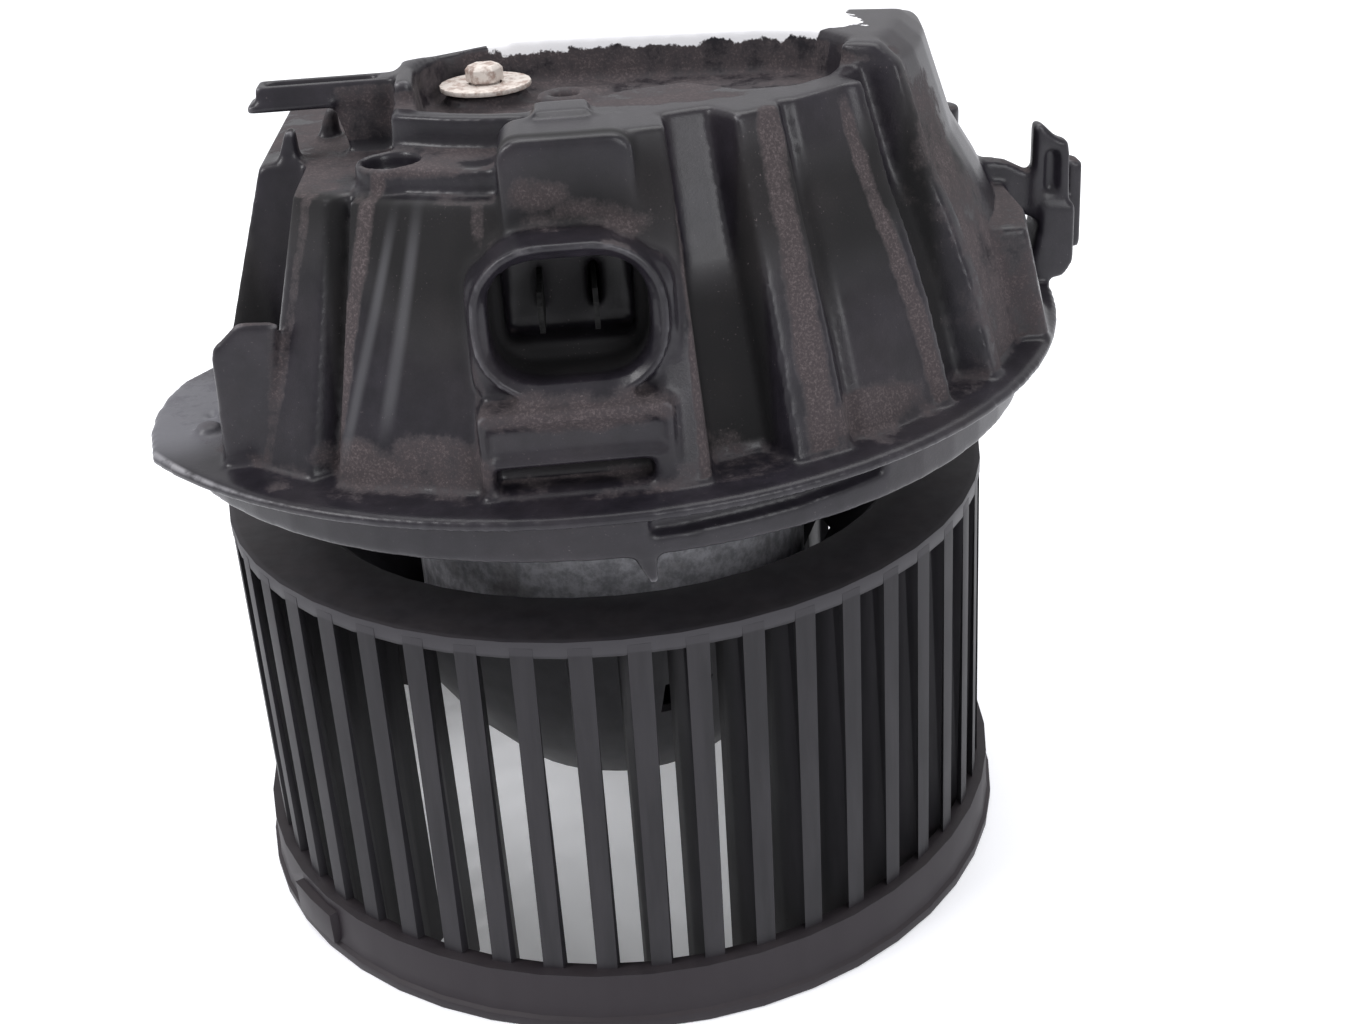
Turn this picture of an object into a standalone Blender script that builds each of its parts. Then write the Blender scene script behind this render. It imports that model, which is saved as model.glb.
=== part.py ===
"""Car cabin blower motor: ribbed housing, galvanised motor and a curved-blade wheel on its shaft.

The wheel stands on z = 0 with its open end down. The motor and the wheel turn about +Z.
The connector faces -Y, the left side of the housing is -X.
"""
import bpy
import bmesh
from math import asin, atan2, ceil, cos, hypot, pi, radians, sin
from mathutils import Matrix, Vector

for leftover in list(bpy.data.objects):
    bpy.data.objects.remove(leftover)

MM = 0.001

# Clearances
GAP = 0.3 * MM
OVERLAP = 0.6 * MM

# Armature
SHAFT_RADIUS = 3.0 * MM
CORE_RADIUS = 29.2 * MM
CORE_LENGTH = 38.0 * MM
CORE_RIM = 2.7 * MM
SLOT_COUNT = 10
SLOT_DEPTH = 11.0 * MM
SLOT_MOUTH = 2.4 * MM
SLOT_BODY_INNER = 4.6 * MM
SLOT_BODY_OUTER = 10.4 * MM
SLOT_OUTER = CORE_RADIUS - CORE_RIM
SLOT_INNER = SLOT_OUTER - SLOT_DEPTH
WINDING_HEAD = 8.0 * MM
WINDING_INNER = 8.0 * MM
COMMUTATOR_RADIUS = 11.0 * MM
COMMUTATOR_LENGTH = 12.0 * MM
COMMUTATOR_BARS = 10
COMMUTATOR_SLIT = 0.6 * MM
THRUST_RADIUS = 6.0 * MM
THRUST_THICKNESS = 1.0 * MM

# Motor can, sized round the armature
AIR_GAP = 1.1 * MM
MAGNET_THICKNESS = 5.9 * MM
MAGNET_HALF_ANGLE = 62.0
MAGNET_OVERHANG = 4.0 * MM
CAN_WALL = 2.0 * MM
CAN_RADIUS = CORE_RADIUS + AIR_GAP + MAGNET_THICKNESS + GAP + CAN_WALL
CAN_CORNER = 4.0 * MM
NOSE_RADIUS = 11.0 * MM
NOSE_DEPTH = 6.0 * MM
BEARING_RADIUS = 7.7 * MM
BEARING_LENGTH = 7.0 * MM
BRACKET_THICKNESS = 3.0 * MM
BRACKET_SPIGOT = 4.0 * MM
BRACKET_TOWER_RADIUS = 11.0 * MM
BRACKET_TOWER_HEIGHT = 12.0 * MM
BRUSH_PLATE_RADIUS = CAN_RADIUS - CAN_WALL - 1.0 * MM
BRUSH_PLATE_THICKNESS = 2.4 * MM
BRUSH_PLATE_BORE = COMMUTATOR_RADIUS + 4.0 * MM
BRUSH_WIDTH = 8.0 * MM
BRUSH_HEIGHT = 6.0 * MM
BRUSH_LENGTH = 12.0 * MM
GUIDE_WALL = 1.4 * MM
GUIDE_INNER = COMMUTATOR_RADIUS + 2.0 * MM
GUIDE_OUTER = BRUSH_PLATE_RADIUS - 2.0 * MM
SPRING_WIRE = 0.45 * MM
SPRING_TURNS = 4

# Blower wheel, with a bowl that clears the can
WHEEL_PLATE_TOP = 78.4 * MM
WHEEL_PLATE_WALL = 1.8 * MM
WHEEL_BAND_HEIGHT = 3.0 * MM
BOWL_CLEARANCE = 18.5 * MM
WHEEL_WELL_RADIUS = CAN_RADIUS + BOWL_CLEARANCE
BLADE_COUNT = 48
BLADE_INSET = 6.6 * MM
BLADE_DEPTH = 9.0 * MM
BLADE_INNER_RADIUS = WHEEL_WELL_RADIUS + BLADE_INSET
BLADE_CAMBER_RADIUS = 12.1 * MM
BLADE_THICKNESS = 1.5 * MM
BLADE_START_HEIGHT = 3.0 * MM
BLADE_FLARE = 1.0 * MM
BLADE_EDGE_AZIMUTH = -93.9
WHEEL_RADIUS = BLADE_INNER_RADIUS + BLADE_DEPTH
BLADE_FOOT_RADIUS = WHEEL_RADIUS + BLADE_FLARE
RING_STEP = 2.4 * MM
RING_RADIUS = WHEEL_RADIUS + RING_STEP
RING_HEIGHT = 11.4 * MM
RING_FLARE = 1.5 * MM
RING_WALL = 1.5 * MM
PAD_START = -150.3
PAD_END = -140.2
PAD_BOTTOM = 2.6 * MM
PAD_HEIGHT = 6.8 * MM
HUB_BOTTOM = 10.0 * MM
HUB_RADIUS = 8.0 * MM
HUB_CLEARANCE = 6.0 * MM
WINDOW_COUNT = 4
WINDOW_AZIMUTH = 14.0
WINDOW_WIDTH = 9.0 * MM
CLIP_RADIUS = 7.5 * MM
CLIP_THICKNESS = 1.0 * MM
CLIP_TEETH = 6

# Heights of the motor, from the wheel's plate up to the end of the shaft
CAN_SINK = 32.4 * MM
CORE_RISE = 20.0 * MM
END_ROOM = 8.0 * MM
SHAFT_NOSE = 4.5 * MM
SHAFT_STUB = 2.5 * MM
CAN_BOTTOM = WHEEL_PLATE_TOP - CAN_SINK
CORE_BOTTOM = CAN_BOTTOM + CORE_RISE
CORE_TOP = CORE_BOTTOM + CORE_LENGTH
CAN_TOP = CORE_TOP + WINDING_HEAD + COMMUTATOR_LENGTH + END_ROOM
BRACKET_TOWER_TOP = CAN_TOP + BRACKET_TOWER_HEIGHT
SHAFT_BOTTOM = HUB_BOTTOM - SHAFT_NOSE
SHAFT_TOP = BRACKET_TOWER_TOP + SHAFT_STUB
HUB_TOP = CAN_BOTTOM - NOSE_DEPTH - HUB_CLEARANCE

# Plug-in skirt and lip, wide enough for the wheel to pass the port
PORT_CLEARANCE = 3.3 * MM
SKIRT_RADIUS = RING_RADIUS + RING_FLARE + PORT_CLEARANCE
SKIRT_WALL = 2.6 * MM
SKIRT_DEPTH = 11.0 * MM
LIP_WIDTH = 8.2 * MM
FLANGE_RADIUS = SKIRT_RADIUS + LIP_WIDTH
FLANGE_OFFSET = (-2.0 * MM, 1.8 * MM)
FLANGE_ABOVE_WHEEL = 29.1 * MM
FLANGE_TOP = WHEEL_PLATE_TOP + FLANGE_ABOVE_WHEEL
FLANGE_PLATE = 2.0 * MM
FITTING_FOOT = FLANGE_TOP - 0.7 * MM
BELL_FOOT = FLANGE_TOP - 1.0 * MM
SKIRT_TOP = FLANGE_TOP - 1.3 * MM
SKIRT_BOTTOM = FLANGE_TOP - SKIRT_DEPTH
WEB_BOTTOM = SKIRT_TOP - 2.6 * MM
SLEEVE_WALL = 2.2 * MM
SLEEVE_BOTTOM = FLANGE_TOP - 8.5 * MM
DAMPER_WALL = 3.0 * MM
DAMPER_HEIGHT = 8.0 * MM
DAMPER_SPACING = 16.0 * MM
POCKET_HEADROOM = 2.5 * MM
RAMP_COUNT = 3
RAMP_PITCH = 98.0
RAMP_START = -86.3
RAMP_END = -57.5
RAMP_SLOT_BOTTOM = SKIRT_BOTTOM + 3.5 * MM
RAMP_SLOT_TOP = WEB_BOTTOM + 0.6 * MM
RAMP_SLOT_RISE = 1.2 * MM
RAMP_SLOT_DEPTH = 1.7 * MM
TOOTH_BOTTOM = SKIRT_BOTTOM - 5.0 * MM
TOOTH_WIDTH = 1.4 * MM
TOOTH_WEB = 3.4 * MM

# Bell, and the levels of its stepped top
BELL_STEP = 0.2 * MM
BELL_RADIUS = SKIRT_RADIUS + BELL_STEP
BELL_DRAFT = 0.32
ROOF_ABOVE_SHAFT = 14.0 * MM
BELL_TOP = SHAFT_TOP + ROOF_ABOVE_SHAFT
FRONT_TOP = BELL_TOP - 3.5 * MM
BAY_FLOOR = BELL_TOP - 7.5 * MM
CURB_TOP = BELL_TOP - 8.5 * MM
LEFT_TOP = BELL_TOP - 12.5 * MM
PEDESTAL_TOP = BAY_FLOOR + 2.0 * MM
REAR_PEDESTAL_TOP = BELL_TOP - 9.0 * MM
FLAT_INSET = 15.4 * MM
LEFT_WALL_X = FLAT_INSET - SKIRT_RADIUS
LEFT_DRAFT = 0.32
PLATEAU_X = LEFT_WALL_X + 35.4 * MM
LIP_EDGE = 2.6 * MM
CURB_CUP_INSET = 22.0 * MM
CURB_CUP_AZIMUTH = -118.9
CURB_CUP_RADIUS = 5.6 * MM
CURB_CUP_WALL = 1.4 * MM

# Plan of the bell's ribbed wall, going round from the front left: the azimuth where each stretch
# starts and how far it lies behind the bell's outer cone
WALL_PLAN = [
    (-137.0, 0.0), (-123.6, 4.2), (-121.6, 0.5), (-117.6, 1.1), (-114.4, 1.8), (-84.0, 0.0),
    (-78.2, 7.0), (-69.6, 0.3), (-61.4, 3.0), (-59.6, 1.6), (-47.6, 0.4), (-44.6, 5.0),
    (-38.0, -0.8), (-34.0, 0.6), (28.0, 3.0),
]
HIDDEN_START = 42.0
HIDDEN_END = 200.0
HIDDEN_PITCH = 24.0
HIDDEN_COLUMN = 8.0
HIDDEN_COLUMN_DEPTH = 0.4
HIDDEN_PANEL_DEPTH = 2.6
FLANK_TURN = 0.7

# Connector
CONNECTOR_X = -3.5 * MM
CONNECTOR_Z = FLANGE_TOP + 25.7 * MM
CONNECTOR_FACE = 3.5 * MM - BELL_RADIUS
SHROUD_WIDTH = 28.5 * MM
SHROUD_HEIGHT = 23.8 * MM
SHROUD_WALL = 1.2 * MM
SHROUD_CORNER = SHROUD_HEIGHT / 2 - 1.5 * MM
SHROUD_RIM_DEPTH = 1.4 * MM
SHROUD_DEPTH = 11.0 * MM
SHROUD_LEDGE = 1.5 * MM
MOUTH_WIDTH = SHROUD_WIDTH - 2 * (SHROUD_WALL + SHROUD_LEDGE)
MOUTH_HEIGHT = SHROUD_HEIGHT - 2 * (SHROUD_WALL + SHROUD_LEDGE)
MOUTH_CORNER = MOUTH_HEIGHT / 2 - 2.8 * MM
SOCKET_WIDTH = MOUTH_WIDTH - 3.6 * MM
SOCKET_HEIGHT = MOUTH_HEIGHT - 5.6 * MM
SOCKET_DEPTH = 6.0 * MM
SHELF_WIDTH = SHROUD_WIDTH + 0.3 * MM
SHELF_TOP = CONNECTOR_Z - SHROUD_HEIGHT / 2 - 0.2 * MM
SHELF_REACH = 1.9 * MM
UPPER_BOX_WIDTH = 19.6 * MM
UPPER_BOX_SETBACK = 8.9 * MM
TERMINAL_WIDTH = 6.3 * MM
TERMINAL_THICKNESS = 0.8 * MM
TERMINAL_PITCH = 8.0 * MM
TERMINAL_SETBACK = 4.5 * MM

# Motor screws
SCREW_INSET = 11.5 * MM
SCREW_RING_RADIUS = CAN_RADIUS - SCREW_INSET
SCREW_AZIMUTH = -122.0
SCREW_SHANK_RADIUS = 2.4 * MM
SCREW_LENGTH = 24.0 * MM
SCREW_HEAD_RADIUS = 3.1 * MM
SCREW_HEAD_HEIGHT = 2.6 * MM
WASHER_RADIUS = 7.5 * MM
WASHER_THICKNESS = 0.8 * MM
BOSS_INSET = 38.5 * MM
BOSS_AZIMUTH = -92.0
BOSS_RADIUS = 4.6 * MM
BOSS_BORE = 2.0 * MM


def material(name, colour, roughness, metallic=0.0):
    made = bpy.data.materials.new(name)
    made.use_nodes = True
    shader = made.node_tree.nodes["Principled BSDF"]
    shader.inputs["Base Color"].default_value = (*colour, 1.0)
    shader.inputs["Roughness"].default_value = roughness
    shader.inputs["Metallic"].default_value = metallic
    return made


def node(name, mesh, finish, smooth_angle=35.0):
    """Link a finished mesh into the scene as one named sub-part."""
    mesh.name = name
    mesh.materials.clear()
    mesh.materials.append(finish)
    mesh.shade_smooth()
    mesh.set_sharp_from_angle(angle=radians(smooth_angle))
    made = bpy.data.objects.new(name, mesh)
    bpy.context.collection.objects.link(made)
    return made


def mesh_from(bm):
    bmesh.ops.recalc_face_normals(bm, faces=bm.faces)
    mesh = bpy.data.meshes.new("shape")
    bm.to_mesh(mesh)
    bm.free()
    return mesh


def polar(radius, azimuth, z=0.0):
    return Vector((radius * cos(radians(azimuth)), radius * sin(radians(azimuth)), z))


def revolve(profile, steps, start=0.0, sweep=360.0):
    """Turn a closed profile of (radius, z) points about Z, all round or through a sector."""
    bm = bmesh.new()
    full = sweep >= 360.0
    stations = steps if full else steps + 1
    rings = []
    for station in range(stations):
        azimuth = start + sweep * station / steps
        rings.append([bm.verts.new(polar(radius, azimuth, z)) for radius, z in profile])
    for station in range(steps):
        here = rings[station]
        after = rings[(station + 1) % stations]
        for index in range(len(profile)):
            following = (index + 1) % len(profile)
            bm.faces.new((here[index], here[following], after[following], after[index]))
    if not full:
        bm.faces.new(rings[0])
        bm.faces.new(rings[-1])
    return mesh_from(bm)


def solid_revolve(profile, steps):
    """Turn an open profile whose two ends lie on the axis."""
    bm = bmesh.new()
    first = bm.verts.new((0.0, 0.0, profile[0][1]))
    last = bm.verts.new((0.0, 0.0, profile[-1][1]))
    rings = []
    for step in range(steps):
        azimuth = 360.0 * step / steps
        rings.append([bm.verts.new(polar(radius, azimuth, z)) for radius, z in profile[1:-1]])
    for step in range(steps):
        here = rings[step]
        after = rings[(step + 1) % steps]
        bm.faces.new((first, here[0], after[0]))
        bm.faces.new((last, after[-1], here[-1]))
        for index in range(len(here) - 1):
            bm.faces.new((here[index], here[index + 1], after[index + 1], after[index]))
    return mesh_from(bm)


def loft(rings, twisted=False):
    """Skin a stack of outlines that have the same number of points, and cap both ends.

    A twisted skin has sides that don't lie flat, so they are split into triangles.
    """
    bm = bmesh.new()
    rows = [[bm.verts.new(point) for point in ring] for ring in rings]
    for lower, upper in zip(rows, rows[1:]):
        for index in range(len(lower)):
            following = (index + 1) % len(lower)
            bm.faces.new((lower[index], lower[following], upper[following], upper[index]))
    if twisted:
        bmesh.ops.triangulate(bm, faces=list(bm.faces))
    bm.faces.new(rows[0])
    bm.faces.new(rows[-1])
    return mesh_from(bm)


def prism(outline, bottom, top, outline_top=None):
    """Stand a plan outline up from bottom to top, with another outline at the top for draft."""
    upper = outline_top or outline
    return loft([[(x, y, bottom) for x, y in outline], [(x, y, top) for x, y in upper]])


def box(low, high):
    outline = [(low[0], low[1]), (high[0], low[1]), (high[0], high[1]), (low[0], high[1])]
    return prism(outline, low[2], high[2])


def rounded_rectangle(width, height, radius, steps=4):
    points = []
    corners = [(1, 1, 0), (-1, 1, 90), (-1, -1, 180), (1, -1, 270)]
    for side_x, side_y, start in corners:
        centre_x = side_x * (width / 2 - radius)
        centre_y = side_y * (height / 2 - radius)
        for step in range(steps + 1):
            turn = radians(start + 90.0 * step / steps)
            points.append((centre_x + radius * cos(turn), centre_y + radius * sin(turn)))
    return points


def facing_front(outline, centre_x, centre_z, front, back):
    """Extrude an outline drawn in X and Z along Y, from its front face to its back."""
    rings = []
    for y in (front, back):
        rings.append([(centre_x + x, y, centre_z + z) for x, z in outline])
    return loft(rings)


def moved(mesh, matrix):
    mesh.transform(matrix)
    return mesh


def turned(mesh, azimuth):
    return moved(mesh, Matrix.Rotation(radians(azimuth), 4, "Z"))


def copy_turned(mesh, azimuth):
    return turned(mesh.copy(), azimuth)


def gather(meshes):
    """Put several closed shapes that don't touch into one mesh."""
    bm = bmesh.new()
    for mesh in meshes:
        bm.from_mesh(mesh)
    made = bpy.data.meshes.new("group")
    bm.to_mesh(made)
    bm.free()
    return made


def combine(base, tools, operation):
    """Add the tools to the base, or cut them out of it, one after another."""
    for tool in tools:
        body = bpy.data.objects.new("body", base)
        cutter = bpy.data.objects.new("cutter", tool)
        bpy.context.collection.objects.link(body)
        bpy.context.collection.objects.link(cutter)
        modifier = body.modifiers.new("combine", "BOOLEAN")
        modifier.operation = operation
        modifier.solver = "EXACT"
        modifier.object = cutter
        graph = bpy.context.evaluated_depsgraph_get()
        base = bpy.data.meshes.new_from_object(body.evaluated_get(graph))
        bpy.data.objects.remove(body)
        bpy.data.objects.remove(cutter)
    return base


def add(base, *tools):
    return combine(base, tools, "UNION")


def cut(base, *tools):
    return combine(base, tools, "DIFFERENCE")


BLACK_PLASTIC = material("black_plastic", (0.030, 0.029, 0.032), 0.45)
WHEEL_PLASTIC = material("wheel_plastic", (0.024, 0.023, 0.026), 0.42)
GALVANISED = material("galvanised_steel", (0.22, 0.22, 0.24), 0.48, 0.9)
STEEL = material("bright_steel", (0.45, 0.44, 0.43), 0.35, 1.0)
LAMINATION = material("core_steel", (0.20, 0.20, 0.21), 0.5, 0.8)
COPPER = material("enamelled_copper", (0.55, 0.22, 0.10), 0.35, 1.0)
CARBON = material("carbon", (0.04, 0.04, 0.042), 0.6)
FERRITE = material("ferrite", (0.07, 0.07, 0.075), 0.7)
BRONZE = material("sintered_bronze", (0.42, 0.26, 0.13), 0.5, 1.0)
RUBBER = material("damper_rubber", (0.02, 0.02, 0.02), 0.8)
CARD = material("brush_card", (0.16, 0.10, 0.05), 0.7)
WORN_ZINC = material("worn_zinc", (0.36, 0.32, 0.28), 0.55, 0.85)


def blade_section(outer_radius):
    """Plan outline of one forward-curved blade, trimmed by the wheel's outer cylinder.

    The camber is an arc that starts radial at the inner edge; both faces share its centre.
    """
    centre = Vector((BLADE_INNER_RADIUS, BLADE_CAMBER_RADIUS))
    phase = atan2(BLADE_CAMBER_RADIUS, BLADE_INNER_RADIUS)
    reach = hypot(BLADE_INNER_RADIUS, BLADE_CAMBER_RADIUS)
    faces = []
    for side in (1, -1):
        radius = BLADE_CAMBER_RADIUS + side * BLADE_THICKNESS / 2
        limit = (outer_radius**2 - reach**2 - radius**2) / (2 * radius * reach)
        end = phase + asin(limit)
        steps = 3
        face = []
        for step in range(steps + 1):
            turn = end * step / steps
            face.append((centre.x + radius * sin(turn), centre.y - radius * cos(turn)))
        faces.append(face)
    return faces[0] + faces[1][::-1]


def blade(top):
    lower = blade_section(BLADE_FOOT_RADIUS)
    upper = blade_section(WHEEL_RADIUS - 0.1 * MM)
    shape = prism(lower, BLADE_START_HEIGHT, top, upper)
    edge = max(atan2(y, x) for x, y in upper)
    return turned(shape, BLADE_EDGE_AZIMUTH - edge * 180 / pi)


def blower_wheel():
    under = WHEEL_PLATE_TOP - WHEEL_PLATE_WALL
    bore = SHAFT_RADIUS + GAP
    wall = WHEEL_PLATE_WALL
    well = WHEEL_WELL_RADIUS
    top = WHEEL_PLATE_TOP
    band_bottom = top - WHEEL_BAND_HEIGHT
    bowl_under = [
        (0.23 * well, HUB_BOTTOM), (0.46 * well, 0.25 * top), (0.63 * well, 0.40 * top),
        (0.76 * well, 0.56 * top), (0.89 * well, 0.75 * top), (well + 2.0 * MM, under - 1.5 * MM),
    ]
    band = [
        (well + 5.0 * MM, under), (WHEEL_RADIUS - wall, under), (WHEEL_RADIUS - wall, band_bottom),
        (WHEEL_RADIUS, band_bottom), (WHEEL_RADIUS, top),
    ]
    bowl_over = [
        (well + 1.5 * MM, top), (well - 0.5 * MM, top - wall), (0.89 * well - wall, 0.75 * top),
        (0.76 * well - wall, 0.56 * top + wall / 2), (0.63 * well - wall, 0.40 * top + wall),
        (0.46 * well - wall, 0.25 * top + wall), (HUB_RADIUS, HUB_BOTTOM + 1.6 * wall),
    ]
    profile = [(bore, HUB_BOTTOM)] + bowl_under + band + bowl_over + [(HUB_RADIUS, HUB_TOP), (bore, HUB_TOP)]
    plate = revolve(profile, BLADE_COUNT)
    flare = RING_RADIUS + RING_FLARE
    inner = BLADE_FOOT_RADIUS - RING_WALL
    ring = revolve(
        [
            (inner, 0.0), (flare, 0.0), (flare, 0.16 * RING_HEIGHT),
            (flare - 0.7 * MM, 0.2 * RING_HEIGHT), (RING_RADIUS + 0.5 * MM, 0.38 * RING_HEIGHT),
            (RING_RADIUS + 0.4 * MM, RING_HEIGHT), (inner, RING_HEIGHT),
        ],
        BLADE_COUNT,
    )
    first = blade(under + OVERLAP)
    blades = [copy_turned(first, 360.0 * index / BLADE_COUNT) for index in range(BLADE_COUNT)]
    pad_top = PAD_BOTTOM + PAD_HEIGHT
    pad = sector(RING_RADIUS - 0.7 * MM, flare + 0.5 * MM, PAD_START, PAD_END, PAD_BOTTOM, pad_top)
    wheel = add(gather([plate, add(ring, pad)]), gather(blades))
    windows = []
    half = WINDOW_WIDTH / 2
    for index in range(WINDOW_COUNT):
        window = box((0.70 * well, -half, 0.56 * top), (0.95 * well, half, 0.67 * top))
        windows.append(turned(window, WINDOW_AZIMUTH + 360.0 * index / WINDOW_COUNT))
    wheel = cut(wheel, gather(windows))
    return node("blower_wheel", wheel, WHEEL_PLASTIC)


def wheel_clip():
    """Star washer pushed on to the shaft under the hub."""
    outline = []
    for index in range(CLIP_TEETH * 4):
        azimuth = 360.0 * index / (CLIP_TEETH * 4)
        radius = CLIP_RADIUS if index % 4 < 2 else 0.8 * CLIP_RADIUS
        outline.append(tuple(polar(radius, azimuth).xy))
    top = HUB_BOTTOM - GAP
    disc = prism(outline, top - CLIP_THICKNESS, top)
    bore = revolve_plug(SHAFT_RADIUS + GAP, top - 2 * CLIP_THICKNESS, top + CLIP_THICKNESS, 16)
    return node("wheel_clip", cut(disc, bore), STEEL)


def revolve_plug(radius, bottom, top, steps):
    return solid_revolve([(0, bottom), (radius, bottom), (radius, top), (0, top)], steps)


def motor_shaft():
    chamfer = 0.5 * MM
    profile = [
        (0, SHAFT_BOTTOM), (SHAFT_RADIUS - chamfer, SHAFT_BOTTOM), (SHAFT_RADIUS, SHAFT_BOTTOM + chamfer),
        (SHAFT_RADIUS, SHAFT_TOP - chamfer), (SHAFT_RADIUS - chamfer, SHAFT_TOP), (0, SHAFT_TOP),
    ]
    return node("motor_shaft", solid_revolve(profile, 16), STEEL)


def slot_outline(margin):
    """Plan outline of one armature slot, narrowed all round by a margin."""
    inner = SLOT_INNER + margin
    outer = SLOT_OUTER - margin
    half_inner = SLOT_BODY_INNER / 2 - margin
    half_outer = SLOT_BODY_OUTER / 2 - margin
    return [(inner, -half_inner), (outer, -half_outer), (outer, half_outer), (inner, half_inner)]


def armature_core():
    bore = SHAFT_RADIUS + GAP
    profile = [(bore, CORE_BOTTOM), (CORE_RADIUS, CORE_BOTTOM), (CORE_RADIUS, CORE_TOP), (bore, CORE_TOP)]
    core = revolve(profile, 30)
    below = CORE_BOTTOM - MM
    above = CORE_TOP + MM
    body = prism(slot_outline(0.0), below, above)
    mouth = box((SLOT_OUTER - MM, -SLOT_MOUTH / 2, below), (CORE_RADIUS + MM, SLOT_MOUTH / 2, above))
    slot = add(body, mouth)
    slots = [copy_turned(slot, 360.0 * index / SLOT_COUNT) for index in range(SLOT_COUNT)]
    return node("armature_core", cut(core, gather(slots)), LAMINATION)


def armature_winding():
    """Ten wound slots and the two heads of coil ends that join them."""
    heads = []
    lower = (CORE_BOTTOM - GAP, CORE_BOTTOM - WINDING_HEAD)
    upper = (CORE_TOP + GAP, CORE_TOP + WINDING_HEAD)
    for near, far in (lower, upper):
        profile = [(SLOT_OUTER, near), (SLOT_INNER - 2 * MM, near), (WINDING_INNER, far),
                   (SLOT_OUTER - 3 * MM, far)]
        heads.append(revolve(profile, 20))
    bar = prism(slot_outline(GAP + 0.1 * MM), CORE_BOTTOM - 2 * MM, CORE_TOP + 2 * MM)
    bars = [copy_turned(bar, 360.0 * index / SLOT_COUNT) for index in range(SLOT_COUNT)]
    return node("armature_winding", add(gather(heads), gather(bars)), COPPER)


def commutator_span():
    bottom = CORE_TOP + WINDING_HEAD + GAP
    return bottom, bottom + COMMUTATOR_LENGTH


def commutator():
    bottom, top = commutator_span()
    bore = SHAFT_RADIUS + GAP
    drum = revolve([(bore, bottom), (COMMUTATOR_RADIUS, bottom), (COMMUTATOR_RADIUS, top), (bore, top)], 30)
    slits = []
    for index in range(COMMUTATOR_BARS):
        half = COMMUTATOR_SLIT / 2
        slit = box((0.8 * COMMUTATOR_RADIUS, -half, bottom + 1.5 * MM),
                   (1.2 * COMMUTATOR_RADIUS, half, top + MM))
        slits.append(turned(slit, 360.0 * index / COMMUTATOR_BARS))
    return node("commutator", cut(drum, gather(slits)), COPPER)


def can_floor():
    return CAN_BOTTOM - NOSE_DEPTH + CAN_WALL


def motor_can():
    inner = CAN_RADIUS - CAN_WALL
    pocket = BEARING_RADIUS + GAP
    corner = CAN_CORNER
    nose = CAN_BOTTOM - NOSE_DEPTH
    profile = [
        (SHAFT_RADIUS + 2 * MM, nose), (NOSE_RADIUS, nose), (NOSE_RADIUS, CAN_BOTTOM),
        (CAN_RADIUS - corner, CAN_BOTTOM), (CAN_RADIUS - 0.3 * corner, CAN_BOTTOM + 0.3 * corner),
        (CAN_RADIUS, CAN_BOTTOM + corner), (CAN_RADIUS, CAN_TOP), (inner, CAN_TOP),
        (inner, CAN_BOTTOM + CAN_WALL), (pocket, CAN_BOTTOM + CAN_WALL),
        (pocket, can_floor()), (SHAFT_RADIUS + 2 * MM, can_floor()),
    ]
    return node("motor_can", revolve(profile, 40), GALVANISED)


def bearing(name, bottom):
    bore = SHAFT_RADIUS + GAP
    edge = 1.2 * MM
    profile = [
        (bore, bottom), (BEARING_RADIUS - edge, bottom), (BEARING_RADIUS, bottom + edge),
        (BEARING_RADIUS, bottom + BEARING_LENGTH - edge), (BEARING_RADIUS - edge, bottom + BEARING_LENGTH),
        (bore, bottom + BEARING_LENGTH),
    ]
    return node(name, revolve(profile, 16), BRONZE)


def lower_bearing_bottom():
    return can_floor() + GAP


def upper_bearing_bottom():
    return BRACKET_TOWER_TOP - 2 * MM - GAP - BEARING_LENGTH


def thrust_washer(name, bottom):
    bore = SHAFT_RADIUS + GAP
    profile = [(bore, bottom), (THRUST_RADIUS, bottom), (THRUST_RADIUS, bottom + THRUST_THICKNESS),
               (bore, bottom + THRUST_THICKNESS)]
    return node(name, revolve(profile, 16), CARD)


def end_bracket():
    """Steel lid of the motor, with a spigot in the can and a tower for the upper bearing."""
    seat = CAN_TOP + GAP
    top = seat + BRACKET_THICKNESS
    spigot = CAN_RADIUS - CAN_WALL - GAP
    pocket = BEARING_RADIUS + GAP
    mouth = upper_bearing_bottom()
    profile = [
        (pocket, seat), (spigot - 2 * MM, seat), (spigot - 2 * MM, CAN_TOP - BRACKET_SPIGOT),
        (spigot, CAN_TOP - BRACKET_SPIGOT), (spigot, seat), (CAN_RADIUS, seat), (CAN_RADIUS, top),
        (BRACKET_TOWER_RADIUS, top), (BRACKET_TOWER_RADIUS, BRACKET_TOWER_TOP),
        (SHAFT_RADIUS + 2 * MM, BRACKET_TOWER_TOP), (SHAFT_RADIUS + 2 * MM, BRACKET_TOWER_TOP - 2 * MM),
        (pocket, BRACKET_TOWER_TOP - 2 * MM), (pocket, mouth),
    ]
    lid = revolve(profile, 32)
    hole_bottom = seat - 2 * MM
    holes = []
    for azimuth in (SCREW_AZIMUTH, SCREW_AZIMUTH + 180.0):
        hole = revolve_plug(SCREW_SHANK_RADIUS + GAP, hole_bottom, top + MM, 12)
        holes.append(moved(hole, Matrix.Translation(polar(SCREW_RING_RADIUS, azimuth))))
    return node("end_bracket", cut(lid, gather(holes)), STEEL)


def brush_plate_top():
    return CAN_TOP - BRACKET_SPIGOT - GAP


def brush_axis_height():
    bottom, top = commutator_span()
    return (bottom + top) / 2 + 0.5 * MM


def guide_channel(grow):
    """Space for one brush and its spring, lying along +X, grown all round by a margin."""
    middle = brush_axis_height()
    across = BRUSH_WIDTH / 2 + grow
    half_height = BRUSH_HEIGHT / 2 + grow
    return (-across, middle - half_height), (across, middle + half_height)


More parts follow.
